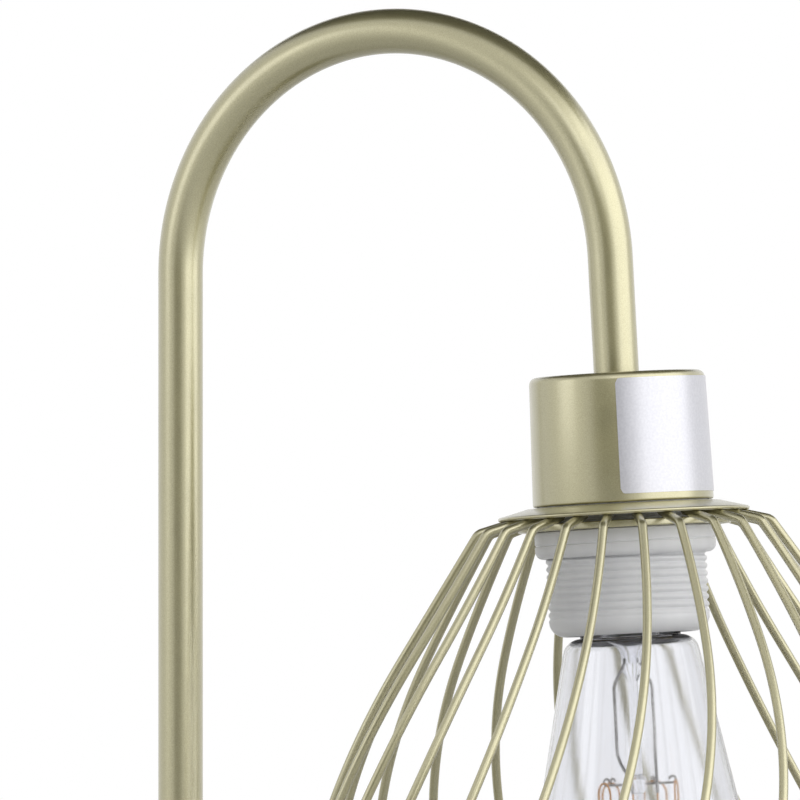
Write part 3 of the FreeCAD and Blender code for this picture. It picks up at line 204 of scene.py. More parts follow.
# Bottom plate, its screws, the studs, the nuts and the lock washers: zinc plated steel, pressed or
# turned, which hold the base and the head together inside.
def vary_gloss(nodes, links, source, low, high, shader):
    """Run the roughness from low to high as a noise goes from low to high."""
    change = nodes.new("ShaderNodeMapRange")
    change.inputs["From Min"].default_value = 0.3
    change.inputs["From Max"].default_value = 0.7
    change.inputs["To Min"].default_value = low
    change.inputs["To Max"].default_value = high
    links.new(source, change.inputs["Value"])
    links.new(change.outputs["Result"], shader.inputs["Roughness"])


def zinc_steel():
    """Zinc plating: bluish grey, with a faint spangle."""
    material, nodes, links, shader = new_material("zinc_steel")
    spangle = grain(nodes, links, 300.0, 2.0)
    shade_between(nodes, links, spangle, (0.42, 0.43, 0.45), (0.6, 0.6, 0.61), shader)
    vary_gloss(nodes, links, spangle, 0.3, 0.5, shader)
    shader.inputs["Metallic"].default_value = 1.0
    return material


def finish_nodes(names, material):
    """Give the model's own pieces their finished material."""
    for name in names:
        mesh = frame["nodes"][name].data
        mesh.materials.clear()
        mesh.materials.append(material)


finish_nodes(
    [
        "bottom_plate",
        "plate_screws",
        "pole_stud",
        "pole_lock_washer",
        "pole_nut",
        "cup_stud",
        "cup_lock_washer",
        "cup_nut",
    ],
    zinc_steel(),
)


# Base weight: a rough iron casting that keeps the lamp from tipping. It is hidden under the cover, and
# the bottom plate's screws go into it.
def cast_iron():
    """Raw sand casting: dark and rough."""
    material, nodes, links, shader = new_material("cast_iron")
    sand = grain(nodes, links, 700.0, 4.0)
    shade_between(nodes, links, sand, (0.05, 0.05, 0.05), (0.14, 0.13, 0.12), shader)
    shader.inputs["Metallic"].default_value = 0.6
    shader.inputs["Roughness"].default_value = 0.75
    raise_by(nodes, links, sand, 0.5, 0.0005, shader)
    return material


finish_nodes(["base_weight"], cast_iron())

# Base cover: a spun steel shell with a rolled edge, painted satin champagne gold like all the metal
# that shows. It drops over the weight and is held by the pole's stud.
cover_low, cover_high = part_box("base_cover")
cover_radius = cover_high.x
cover_wall = 0.0012
cover_edge_round = 0.004
cover_hem = 0.0005
cover_round_steps = 10
cover_steps = 224


def gold_paint():
    """Satin metallic paint: a warm champagne gold with fine flakes and a slight orange peel."""
    material, nodes, links, shader = new_material("gold_paint")
    flakes = grain(nodes, links, 4200.0, 2.0)
    shade_between(nodes, links, flakes, (0.338, 0.311, 0.148), (0.414, 0.38, 0.2), shader)
    vary_gloss(nodes, links, grain(nodes, links, 90.0, 3.0), 0.32, 0.40, shader)
    shader.inputs["Metallic"].default_value = 0.75
    shader.inputs["Coat Weight"].default_value = 1.0
    shader.inputs["Coat IOR"].default_value = 2.1
    shader.inputs["Coat Roughness"].default_value = 0.26
    raise_by(nodes, links, grain(nodes, links, 500.0, 2.0), 0.04, 0.0002, shader)
    return material


painted_gold = gold_paint()
cover = turned(
    "base_shell",
    rounded_outline(
        [
            (0, cover_high.z - cover_wall, 0),
            (cover_radius - cover_wall, cover_high.z - cover_wall, cover_edge_round - cover_wall),
            (cover_radius - cover_wall, cover_low.z, cover_hem),
            (cover_radius, cover_low.z, cover_hem),
            (cover_radius, cover_high.z, cover_edge_round),
            (0, cover_high.z, 0),
        ],
        steps=cover_round_steps,
    ),
    steps=cover_steps,
)
dress(cover, "stand", "base_cover", painted_gold)

# Cord bushing: a small black nylon inlet, pressed into the back of the cover, with a rounded lip that
# keeps the lead off the metal edge.
bushing_low, bushing_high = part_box("cord_bushing")
bushing_axis_level = (bushing_low.z + bushing_high.z) / 2
bushing_brim = bushing_high.y
bushing_bore = 0.0023
bushing_neck = 0.003
bushing_face = 0.0012
bushing_length = bushing_high.x - bushing_low.x
bushing_lip_round = 0.0005
bushing_bore_round = 0.0004
bushing_back_round = 0.0002
bushing_end_round = 0.0001
bushing_place = Matrix.Translation((bushing_low.x, 0, bushing_axis_level))
bushing_place = bushing_place @ Matrix.Rotation(math.radians(90), 4, "Y")


def black_nylon():
    """Moulded nylon: black, with a fine matt grain."""
    material, nodes, links, shader = new_material("black_nylon")
    moulding = grain(nodes, links, 2500.0, 2.0)
    shade_between(nodes, links, moulding, (0.012, 0.012, 0.012), (0.03, 0.03, 0.03), shader)
    vary_gloss(nodes, links, moulding, 0.38, 0.55, shader)
    raise_by(nodes, links, moulding, 0.1, 0.0001, shader)
    return material


bushing = turned(
    "inlet_bushing",
    rounded_outline(
        [
            (bushing_bore, 0, bushing_bore_round),
            (bushing_brim, 0, bushing_lip_round),
            (bushing_brim, bushing_face, bushing_back_round),
            (bushing_neck, bushing_face, 0),
            (bushing_neck, bushing_length, bushing_end_round),
            (bushing_bore, bushing_length, bushing_end_round),
        ]
    ),
    bushing_place,
    steps=64,
)
dress(bushing, "stand", "cord_bushing", black_nylon())

# Pole collar: a turned steel ring, painted with the rest, that covers the hole in the base and seats
# the tube. The stud through it holds it down.
collar_low, collar_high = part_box("pole_collar")
pole_x = (collar_low.x + collar_high.x) / 2
collar_radius = collar_high.x - pole_x
collar_bore = 0.0051
collar_foot_round = 0.0003
collar_edge_round = 0.0015
collar_bore_round = 0.0002
collar = turned(
    "base_collar",
    rounded_outline(
        [
            (collar_bore, collar_low.z, 0),
            (collar_radius, collar_low.z, collar_foot_round),
            (collar_radius, collar_high.z, collar_edge_round),
            (collar_bore, collar_high.z, collar_bore_round),
        ]
    ),
    Matrix.Translation((pole_x, 0, 0)),
    steps=96,
)
dress(collar, "stand", "pole_collar", painted_gold)

# Arch tube: one steel tube of 11.3 mm, bent in a half circle over the head and painted with it. The
# short leg after the bend leans a little outwards, along the axis of the lamp head.
ring_joint = next(joint for joint in frame["joints"] if joint["name"] == "ring_turn")
head_top = Vector(ring_joint["pos_m"])
head_down = Vector(ring_joint["axis"]).normalized()
tube_low, tube_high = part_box("arch_tube")
tube_radius = tube_high.y
arch_radius = 0.06035
arch_level = tube_high.z - tube_radius - arch_radius
arch_steps = 96
tube_sides = 64
wire_smooth_angle = 50.0


def swept(points, radius, sides):
    """A closed round tube along points, turned as little as possible from one point to the next."""
    work = bmesh.new()
    across = None
    rings = []
    for index, point in enumerate(points):
        way = (points[min(index + 1, len(points) - 1)] - points[max(index - 1, 0)]).normalized()
        if across is None:
            across = way.orthogonal().normalized()
        across = (across - way * across.dot(way)).normalized()
        side = way.cross(across)
        angles = [FULL_TURN * step / sides for step in range(sides)]
        rings.append(
            [
                work.verts.new(point + (across * math.cos(angle) + side * math.sin(angle)) * radius)
                for angle in angles
            ]
        )
    for ring, following in zip(rings, rings[1:]):
        for step in range(sides):
            beside = (step + 1) % sides
            work.faces.new((ring[step], ring[beside], following[beside], following[step]))
    work.faces.new(reversed(rings[0]))
    work.faces.new(rings[-1])
    return work


def swept_piece(name, paths, radius, sides):
    """One piece made of round wires or tubes along several paths."""
    mesh = bpy.data.meshes.new(name)
    joined = bmesh.new()
    for path in paths:
        tube = swept(path, radius, sides)
        part = bpy.data.meshes.new("path")
        tube.to_mesh(part)
        tube.free()
        joined.from_mesh(part)
        bpy.data.meshes.remove(part)
    joined.to_mesh(mesh)
    joined.free()
    return new_piece(name, mesh, wire_smooth_angle)


head_tilt = math.atan2(head_down.x, -head_down.z)
arch_centre = Vector((pole_x + arch_radius, 0, arch_level))
tube_path = [Vector((pole_x, 0, tube_low.z))]
for step in range(arch_steps + 1):
    angle = math.pi - (math.pi - head_tilt) * step / arch_steps
    tube_path.append(arch_centre + Vector((math.cos(angle), 0, math.sin(angle))) * arch_radius)
tube_path.append(head_top)
tube = swept_piece("bent_tube", [tube_path], tube_radius, tube_sides)
dress(tube, "stand", "arch_tube", painted_gold)


# Inner lead and its two cores: the flexible lead that runs inside the base and the tube, and the
# insulated wires from its end to the terminals.
def lead_sheath():
    """Plastic sheath: brown, smooth and slightly mottled."""
    material, nodes, links, shader = new_material("lead_sheath")
    mottle = grain(nodes, links, 400.0, 2.0)
    shade_between(nodes, links, mottle, (0.05, 0.035, 0.02), (0.09, 0.065, 0.04), shader)
    vary_gloss(nodes, links, mottle, 0.4, 0.5, shader)
    return material


finish_nodes(["inner_lead", "lead_cores"], lead_sheath())

# Socket cup: a deep drawn steel cup with a rounded top edge, slightly narrower there than at its rim.
# A nut inside holds it on the end of the leg, and it hides the upper half of the lampholder.
head = Matrix.Translation(head_top) @ Matrix.Rotation(-head_tilt, 4, "Y")
cup_wall = 0.0008
cup_taper = 0.0007
cup_edge_round = 0.0018
cup_inner_round = 0.0008
cup_rim_round = 0.0006
cup_rim_inner_round = 0.0001
cup_hole_round = 0.0002
head_steps = 192


def head_span(node):
    """Lowest and highest level, and least and greatest radius, of a node about the head's axis."""
    to_head = head.inverted()
    points = [to_head @ vertex.co for vertex in frame["nodes"][node].data.vertices]
    levels = [point.z for point in points]
    radii = [math.hypot(point.x, point.y) for point in points]
    return min(levels), max(levels), min(radii), max(radii)


cup_bottom, cup_top, cup_bore, cup_radius = head_span("socket_cup")
cup_top_radius = cup_radius - cup_taper
cup = turned(
    "holder_cup",
    rounded_outline(
        [
            (cup_bore, cup_top - cup_wall, 0),
            (cup_top_radius - cup_wall, cup_top - cup_wall, cup_inner_round),
            (cup_radius - cup_wall, cup_bottom, cup_rim_inner_round),
            (cup_radius, cup_bottom, cup_rim_round),
            (cup_top_radius, cup_top, cup_edge_round),
            (cup_bore, cup_top, cup_hole_round),
        ]
    ),
    head,
    steps=head_steps,
)
dress(cup, "stand", "socket_cup", painted_gold)

# Cup label: a blank sticker of silvery white foil paper, rolled onto one side of the cup. Its corners
# are rounded and its surface is not quite flat.
label_bottom, label_top, _, label_outer = head_span("cup_label")
label_thickness = 0.00015
label_start = math.radians(-65.0)
label_turn = math.radians(100.0)
label_corner = 0.0012
label_steps = 72
label_rows = 30


def foil_paper():
    """Silver coated paper: pale, slightly bluish, with soft rolls left by the thumb."""
    material, nodes, links, shader = new_material("foil_paper")
    fibres = grain(nodes, links, 1600.0, 3.0)
    shade_between(nodes, links, fibres, (0.60, 0.60, 0.64), (0.66, 0.66, 0.70), shader)
    shader.inputs["Metallic"].default_value = 0.45
    vary_gloss(nodes, links, fibres, 0.3, 0.36, shader)
    raise_by(nodes, links, grain(nodes, links, 60.0, 1.0), 0.05, 0.0004, shader)
    return material


def label_rim(layer):
    """The corners of one face of the label, once round its edge."""
    rim = [column[0] for column in layer]
    rim += layer[-1][1:]
    rim += [column[-1] for column in layer[-2::-1]]
    return rim + layer[0][-2:0:-1]


def label_mesh():
    """A curved sheet with rounded corners and its thickness."""
    work = bmesh.new()
    width = label_turn * label_outer
    height = label_top - label_bottom
    layers = []
    for face_radius in (label_outer - label_thickness, label_outer):
        layer = []
        for column in range(label_steps + 1):
            along = width * column / label_steps
            edge = min(along, width - along)
            trim = 0.0
            if edge < label_corner:
                trim = label_corner - math.sqrt(label_corner ** 2 - (label_corner - edge) ** 2)
            rows = []
            for row in range(label_rows + 1):
                level = label_bottom + trim + (height - 2 * trim) * row / label_rows
                angle = label_start + along / label_outer
                radius = face_radius - cup_taper * (level - label_bottom) / (cup_top - cup_bottom)
                rows.append(work.verts.new((radius * math.cos(angle), radius * math.sin(angle), level)))
            layer.append(rows)
        layers.append(layer)
    for column in range(label_steps):
        for row in range(label_rows):
            for layer in layers:
                work.faces.new(
                    (
                        layer[column][row],
                        layer[column + 1][row],
                        layer[column + 1][row + 1],
                        layer[column][row + 1],
                    )
                )
    rim_inner, rim_outer = label_rim(layers[0]), label_rim(layers[1])
    for index in range(len(rim_inner)):
        beside = (index + 1) % len(rim_inner)
        work.faces.new((rim_inner[index], rim_inner[beside], rim_outer[beside], rim_outer[index]))
    bmesh.ops.recalc_face_normals(work, faces=work.faces)
    work.transform(head)
    mesh = bpy.data.meshes.new("blank_label")
    work.to_mesh(mesh)
    work.free()
    return mesh


label = new_piece("blank_label", label_mesh())
dress(label, "stand", "cup_label", foil_paper())

# Lampholder: a white moulded dome and skirt. The skirt's thread is a real helix, which the shade ring
# runs on, and its lower edge is rounded.
skirt_bottom, skirt_top, skirt_bore, skirt_flange_radius = head_span("holder_skirt")
skirt_radius = 0.020
skirt_lip = 0.004
flange_bottom = -0.0324
flange_top = -0.0302
flange_width = 0.0026
thread_pitch = 0.0019
thread_depth = 0.0006
thread_share = 0.7
thread_lead = 0.0028
thread_start = flange_bottom - thread_lead
thread_end = skirt_bottom + skirt_lip
thread_fade = 0.001
skirt_steps = 144
lip_steps = 8
rows_per_pitch = 10


def white_plastic():
    """Moulded white resin: slightly cool, semi gloss, with faint flow marks."""
    material, nodes, links, shader = new_material("white_plastic")
    flow = grain(nodes, links, 120.0, 2.0, (1, 1, 0.4))
    shade_between(nodes, links, flow, (0.74, 0.745, 0.765), (0.80, 0.805, 0.82), shader)
    vary_gloss(nodes, links, flow, 0.32, 0.42, shader)
    raise_by(nodes, links, grain(nodes, links, 1200.0, 2.0), 0.04, 0.0002, shader)
    return material


def thread_cut(level, turn):
    """How far the thread's groove cuts in at a level and a turn round the skirt."""
    if not thread_end < level < thread_start:
        return 0.0
    phase = ((thread_start - level) / thread_pitch - turn) % 1.0
    depth = max(0.0, 1.0 - abs(phase - 0.5) / (thread_share / 2))
    fade = min(1.0, (level - thread_end) / thread_fade, (thread_start - level) / thread_fade)
    return thread_depth * depth * fade


def skirt_outline(turn):
    """The skirt's outline at a turn round the axis, from its bore to its flange."""
    points = [(skirt_bore, skirt_top), (skirt_bore, skirt_bottom)]
    for step in range(lip_steps + 1):
        angle = math.pi / 2 * step / lip_steps
        radius = skirt_radius - skirt_lip + skirt_lip * math.sin(angle)
        points.append((radius, skirt_bottom + skirt_lip - skirt_lip * math.cos(angle)))
    rows = int((flange_bottom - thread_end) / thread_pitch * rows_per_pitch)
    for row in range(1, rows + 1):
        level = thread_end + (flange_bottom - thread_end) * row / rows
        points.append((skirt_radius - thread_cut(level, turn), level))
    points.append((skirt_flange_radius, flange_bottom))
    points.append((skirt_flange_radius, flange_top))
    points.append((skirt_flange_radius - flange_width, flange_top))
    points.append((skirt_flange_radius - flange_width, skirt_top))
    return points


def skirt_mesh():
    """The skirt with its helical thread."""
    work = bmesh.new()
    rings = []
    for step in range(skirt_steps):
        turn = step / skirt_steps
        angle = FULL_TURN * turn
        rings.append(
            [
                work.verts.new((radius * math.cos(angle), radius * math.sin(angle), level))
                for radius, level in skirt_outline(turn)
            ]
        )
    for step in range(skirt_steps):
        ring, following = rings[step], rings[(step + 1) % skirt_steps]
        for index in range(len(ring)):
            beside = (index + 1) % len(ring)
            work.faces.new((ring[index], following[index], following[beside], ring[beside]))
    bmesh.ops.recalc_face_normals(work, faces=work.faces)
    work.transform(head)
    mesh = bpy.data.meshes.new("threaded_skirt")
    work.to_mesh(mesh)
    work.free()
    return mesh


moulded_white = white_plastic()
skirt = new_piece("threaded_skirt", skirt_mesh(), wire_smooth_angle)
dress(skirt, "stand", "holder_skirt", moulded_white)
finish_nodes(["holder_dome"], moulded_white)


# Holder insert: a pressed ceramic core in the skirt. It carries the stamped brass screw shell and
# terminals, and a steel spring behind the contact that meets the bulb's tip.
def pressed_ceramic():
    """Unglazed steatite: off-white and dull."""
    material, nodes, links, shader = new_material("pressed_ceramic")
    grit = grain(nodes, links, 1500.0, 3.0)
    shade_between(nodes, links, grit, (0.72, 0.70, 0.66), (0.82, 0.80, 0.76), shader)
    shader.inputs["Roughness"].default_value = 0.65
    raise_by(nodes, links, grit, 0.1, 0.0001, shader)
    return material


def contact_brass():
    """Stamped brass: warm yellow, with faint rolling marks."""
    material, nodes, links, shader = new_material("contact_brass")
    rolling = grain(nodes, links, 500.0, 3.0, (1, 1, 8))
    shade_between(nodes, links, rolling, (0.60, 0.42, 0.17), (0.72, 0.54, 0.25), shader)
    vary_gloss(nodes, links, rolling, 0.25, 0.4, shader)
    shader.inputs["Metallic"].default_value = 1.0
    return material


def spring_steel():
    """Drawn spring wire: bright grey."""
    material, nodes, links, shader = new_material("spring_steel")
    drawing = grain(nodes, links, 900.0, 2.0)
    shade_between(nodes, links, drawing, (0.40, 0.40, 0.42), (0.55, 0.55, 0.56), shader)
    shader.inputs["Metallic"].default_value = 1.0
    shader.inputs["Roughness"].default_value = 0.3
    return material


stamped_brass = contact_brass()
finish_nodes(["holder_core"], pressed_ceramic())
finish_nodes(
    [
        "screw_shell",
        "live_terminal",
        "neutral_terminal",
        "terminal_screws",
        "shell_rivet",
        "contact_plunger",
        "cap_tip",
        "bulb_cap",
    ],
    stamped_brass,
)
finish_nodes(["contact_spring"], spring_steel())

# Cage disc: a pressed steel plate under the cup, flat where the holder's flange clamps it and slightly
# dished down to its rim, with the wires welded underneath.
disc_bottom, disc_top, disc_hole, disc_radius = head_span("cage_disc")
disc_thickness = 0.001
disc_flat = 0.024
disc_hole_round = 0.0003
disc_rim_round = 0.0005
disc = turned(
    "dished_disc",
    rounded_outline(
        [
            (disc_hole, disc_top - disc_thickness, disc_hole_round),
            (disc_flat, disc_top - disc_thickness, 0),
            (disc_radius, disc_bottom, disc_rim_round),
            (disc_radius, disc_bottom + disc_thickness, disc_rim_round),
            (disc_flat, disc_top, 0),
            (disc_hole, disc_top, disc_hole_round),
        ]
    ),
    head,
    steps=head_steps,
)
dress(disc, "cage", "cage_disc", painted_gold)

# Cage wires: steel rods of 2.3 mm, welded under the disc, bent over its rim and then curved and
# twisted like the petals of a closed flower, down to a round ring at the mouth of the shade.
wire_count = 24
wire_radius = 0.00115
wire_phase = math.radians(-87.0)
cage_twist = math.radians(11.2)
cage_twist_growth = math.radians(38.0)
weld_gap = 0.00005
weld_inset = 0.001
wire_overhang = 0.00423
wire_bend = 0.003
flare_angle = math.radians(34.0)
flare_length = 0.035
shoulder_radius = 0.223
knee_angle = math.radians(23.5)
belly_radius = 0.115
closing_angle = math.radians(35.0)
disc_slope = math.atan2(disc_top - disc_thickness - disc_bottom, disc_radius - disc_flat)
weld_radius = disc_flat + weld_inset
weld_level = disc_top - disc_thickness - weld_inset * math.tan(disc_slope)
weld_level -= (wire_radius + weld_gap) / math.cos(disc_slope)
wire_steps = 110
bend_steps = 10
wire_sides = 16


def wire_path():
    """Points down one wire, about the head's axis."""
    path = [Vector((weld_radius, 0, weld_level))]
    run_radius = disc_radius + wire_overhang
    radius = run_radius
    level = weld_level - (run_radius - weld_radius) * math.tan(disc_slope)
    path.append(Vector((radius, 0, level)))
    steepest = math.pi / 2 - flare_angle
    for step in range(bend_steps):
        slope = disc_slope + (steepest - disc_slope) * (step + 0.5) / bend_steps
        run = wire_bend * (steepest - disc_slope) / bend_steps
        radius += run * math.cos(slope)
        level -= run * math.sin(slope)
        path.append(Vector((radius, 0, level)))
    neck_level = level
    shoulder_length = shoulder_radius * (flare_angle - knee_angle)
    belly_length = belly_radius * (knee_angle + closing_angle)
    run = (flare_length + shoulder_length + belly_length) / wire_steps
    side = []
    for step in range(wire_steps):
        length = run * (step + 0.5)
        slope = flare_angle
        if length > flare_length:
            slope = flare_angle - min(length - flare_length, shoulder_length) / shoulder_radius
        if length > flare_length + shoulder_length:
            slope = knee_angle - (length - flare_length - shoulder_length) / belly_radius
        radius += run * math.sin(slope)
        level -= run * math.cos(slope)
        side.append((radius, level))
    cage_depth = neck_level - level
    for radius, level in side:
        share = (neck_level - level) / cage_depth
        angle = -(cage_twist + cage_twist_growth * share) * share
        path.append(Vector((radius * math.cos(angle), radius * math.sin(angle), level)))
    return path


def wire_ring_tree(name, material):
    """Nodes that sweep a wire along its path and repeat it round the head's axis."""
    tree = bpy.data.node_groups.new(name, "GeometryNodeTree")
    tree.interface.new_socket("Path", in_out="INPUT", socket_type="NodeSocketGeometry")
    kinds = {
        "Wire count": "NodeSocketInt",
        "Step angle": "NodeSocketFloat",
        "Wire radius": "NodeSocketFloat",
        "Wire sides": "NodeSocketInt",
        "First angle": "NodeSocketFloat",
        "Head tilt": "NodeSocketVector",
        "Head place": "NodeSocketVector",
    }
    inputs = {}
    for label, kind in kinds.items():
        inputs[label] = tree.interface.new_socket(label, in_out="INPUT", socket_type=kind)
    tree.interface.new_socket("Wires", in_out="OUTPUT", socket_type="NodeSocketGeometry")
    nodes, links = tree.nodes, tree.links
    given = nodes.new("NodeGroupInput")
    section = nodes.new("GeometryNodeCurvePrimitiveCircle")
    wire = nodes.new("GeometryNodeCurveToMesh")
    wire.inputs["Fill Caps"].default_value = True
    posts = nodes.new("GeometryNodeMeshLine")
    index = nodes.new("GeometryNodeInputIndex")
    angle = nodes.new("ShaderNodeMath")
    angle.operation = "MULTIPLY_ADD"
    turn = nodes.new("ShaderNodeCombineXYZ")
    copies = nodes.new("GeometryNodeInstanceOnPoints")
    whole = nodes.new("GeometryNodeRealizeInstances")
    placed = nodes.new("GeometryNodeTransform")
    painted = nodes.new("GeometryNodeSetMaterial")
    painted.inputs["Material"].default_value = material
    made = nodes.new("NodeGroupOutput")
    posts.inputs["Offset"].default_value = (0, 0, 0)
    links.new(given.outputs["Wire radius"], section.inputs["Radius"])
    links.new(given.outputs["Wire sides"], section.inputs["Resolution"])
    links.new(given.outputs["Path"], wire.inputs["Curve"])
    links.new(section.outputs["Curve"], wire.inputs["Profile Curve"])
    links.new(given.outputs["Wire count"], posts.inputs["Count"])
    links.new(index.outputs["Index"], angle.inputs[0])
    links.new(given.outputs["Step angle"], angle.inputs[1])
    links.new(given.outputs["First angle"], angle.inputs[2])
    links.new(angle.outputs["Value"], turn.inputs["Z"])
    links.new(posts.outputs["Mesh"], copies.inputs["Points"])
    links.new(wire.outputs["Mesh"], copies.inputs["Instance"])
    links.new(turn.outputs["Vector"], copies.inputs["Rotation"])
    links.new(copies.outputs["Instances"], whole.inputs["Geometry"])
    links.new(whole.outputs["Geometry"], placed.inputs["Geometry"])
    links.new(given.outputs["Head tilt"], placed.inputs["Rotation"])
    links.new(given.outputs["Head place"], placed.inputs["Translation"])
    links.new(placed.outputs["Geometry"], painted.inputs["Geometry"])
    links.new(painted.outputs["Geometry"], made.inputs["Wires"])
    return tree, inputs


def path_object(name, path):
    """A curve object with one open run of straight steps through the points."""
    curve = bpy.data.curves.new(name, "CURVE")
    curve.dimensions = "3D"
    spline = curve.splines.new("POLY")
    spline.points.add(len(path) - 1)
    for point, place in zip(spline.points, path):
        point.co = (*place, 1)
    holder = bpy.data.objects.new(name, curve)
    bpy.context.scene.collection.objects.link(holder)
    return holder


def made_by_nodes(name, holder, tree, inputs, values):
    """Run a tree on an object, keep the mesh that it makes and remove the object."""
    modifier = holder.modifiers.new("nodes", "NODES")
    modifier.node_group = tree
    for label, value in values.items():
        modifier[inputs[label].identifier] = value
    bpy.context.view_layer.update()
    ready = holder.evaluated_get(bpy.context.evaluated_depsgraph_get())
    mesh = bpy.data.meshes.new_from_object(ready)
    mesh.name = name
    holder.modifiers.remove(modifier)
    bpy.data.objects.remove(holder)
    return new_piece(name, mesh, wire_smooth_angle)


wire_tree, wire_inputs = wire_ring_tree("cage_wires", painted_gold)
wires = made_by_nodes(
    "twisted_wires",
    path_object("wire_path", wire_path()),
    wire_tree,
    wire_inputs,
    {
        "Wire count": wire_count,
        "Step angle": FULL_TURN / wire_count,
        "Wire radius": wire_radius,
        "Wire sides": wire_sides,
        "First angle": wire_phase,
        "Head tilt": (0.0, -head_tilt, 0.0),
        "Head place": tuple(head_top),
    },
)
dress(wires, "cage", "cage_wires", painted_gold)

# Cage bottom ring: a thicker round steel rod, butt welded into a ring at the mouth of the shade. The
# ends of the wires are welded to it.
ring_bottom, ring_top, ring_inner, ring_outer = head_span("cage_bottom_ring")
ring_rod = (ring_top - ring_bottom) / 2
rod_sides = 20
rod_outline = [
    (
        (ring_inner + ring_outer) / 2 + ring_rod * math.cos(FULL_TURN * step / rod_sides),
        (ring_top + ring_bottom) / 2 + ring_rod * math.sin(FULL_TURN * step / rod_sides),
    )
    for step in range(rod_sides)
]
bottom_ring = turned("mouth_ring", rod_outline, head, steps=head_steps)
dress(bottom_ring, "cage", "cage_bottom_ring", painted_gold)

# Cage clamp ring: a flat steel ring welded under the inner ends of the wires, which the shade ring
# presses on.
clamp_bottom, clamp_top, clamp_hole, clamp_radius = head_span("cage_clamp_ring")
clamp_hole_round = 0.0002
clamp_rim_round = 0.0003
clamp_round_steps = 4
clamp = turned(
    "wire_clamp",
    rounded_outline(
        [
            (clamp_hole, clamp_bottom, clamp_hole_round),
            (clamp_radius, clamp_bottom, clamp_rim_round),
            (clamp_radius, clamp_top, clamp_rim_round),
            (clamp_hole, clamp_top, clamp_hole_round),
        ],
        steps=clamp_round_steps,
    ),
    head,
)
dress(clamp, "cage", "cage_clamp_ring", painted_gold)

# Shade ring: a white moulded ring on the skirt's thread. Turning it clamps the cage against the
# lampholder's flange. It has a rounded lower edge and a shallow grip groove.
nut_bottom, nut_top, nut_bore, nut_radius = head_span("shade_ring")
nut_groove = 0.0003
nut_groove_round = 0.0001
nut_bore_round = 0.0002
nut_lower_round = 0.002
nut_upper_round = 0.0003
nut_middle = (nut_bottom + nut_top) / 2
shade_nut = turned(
    "shade_nut",
    rounded_outline(
        [
            (nut_bore, nut_bottom, nut_bore_round),
            (nut_radius, nut_bottom, nut_lower_round),
            (nut_radius, nut_middle - nut_groove, nut_groove_round),
            (nut_radius - nut_groove, nut_middle, nut_groove_round),
            (nut_radius, nut_middle + nut_groove, nut_groove_round),
            (nut_radius, nut_top, nut_upper_round),
            (nut_bore, nut_top, nut_bore_round),
        ]
    ),
    head,
)
dress(shade_nut, "ring", "shade_ring", moulded_white)


# Bulb cap: a stamped brass screw cap with a soldered tip, cemented to the bulb's neck. Cap and tip are
# brass like the holder's contacts, and a poured ring of black glass parts them.
def black_glass():
    """Poured glass insulator: black and glossy."""
    material, nodes, links, shader = new_material("black_glass")
    swirl = grain(nodes, links, 300.0, 2.0)
    shade_between(nodes, links, swirl, (0.008, 0.008, 0.009), (0.02, 0.018, 0.02), shader)
    vary_gloss(nodes, links, swirl, 0.08, 0.16, shader)
    return material


finish_nodes(["cap_insulator"], black_glass())

# Bulb glass: clear glass blown as one long pear, with a neck inside the cap, a round shoulder under the
# skirt, a straight cone and a ball end. The wall is about 0.9 mm, so it shows at its edges.
glass_bottom, glass_top, _, globe_radius = head_span("bulb_glass")
globe_level = glass_bottom + globe_radius
cone_angle = math.radians(11.5)
shoulder_round = 0.0045
shoulder_drop = 0.0051
shoulder_level = skirt_bottom - shoulder_drop
neck_taper = 0.0064
neck_end = shoulder_level + neck_taper
neck_radius = 0.0124
glass_wall = 0.0009
glass_steps = 160
shoulder_steps = 8
globe_steps = 40


def clear_glass():
    """Blown soda glass: clear with a slight haze, and faint drawn streaks along the bulb."""
    material, nodes, links, shader = new_material("clear_glass")
    streaks = grain(nodes, links, 260.0, 2.0, (1, 1, 0.04))
    shader.inputs["Base Color"].default_value = (0.90, 0.905, 0.93, 1)
    shader.inputs["Roughness"].default_value = 0.09
    shader.inputs["Transmission Weight"].default_value = 1.0
    shader.inputs["IOR"].default_value = 1.46
    raise_by(nodes, links, streaks, 0.05, 0.0003, shader)
    return material


def glass_side(inset):
    """Points down one face of the glass, set in from its outside."""
    cone_start = shoulder_level + shoulder_round * math.sin(cone_angle)
    cone_reach = cone_start - (globe_level + globe_radius * math.sin(cone_angle))
    shoulder_x = (globe_radius - shoulder_round) * math.cos(cone_angle) - cone_reach * math.tan(cone_angle)
    ball = globe_radius - inset
    bend = shoulder_round - inset
    points = [(neck_radius - inset, glass_top), (neck_radius - inset, neck_end - inset)]
    for step in range(shoulder_steps + 1):
        angle = math.pi / 2 + (cone_angle - math.pi / 2) * step / shoulder_steps
        points.append((shoulder_x + bend * math.cos(angle), shoulder_level + bend * math.sin(angle)))
    for step in range(globe_steps + 1):
        angle = cone_angle - (math.pi / 2 + cone_angle) * step / globe_steps
        points.append((ball * max(math.cos(angle), 0.0), globe_level + ball * math.sin(angle)))
    return points


blown_glass = clear_glass()
glass = turned("glass_bulb", glass_side(0.0) + glass_side(glass_wall)[::-1], head, steps=glass_steps)
dress(glass, "bulb", "bulb_glass", blown_glass)

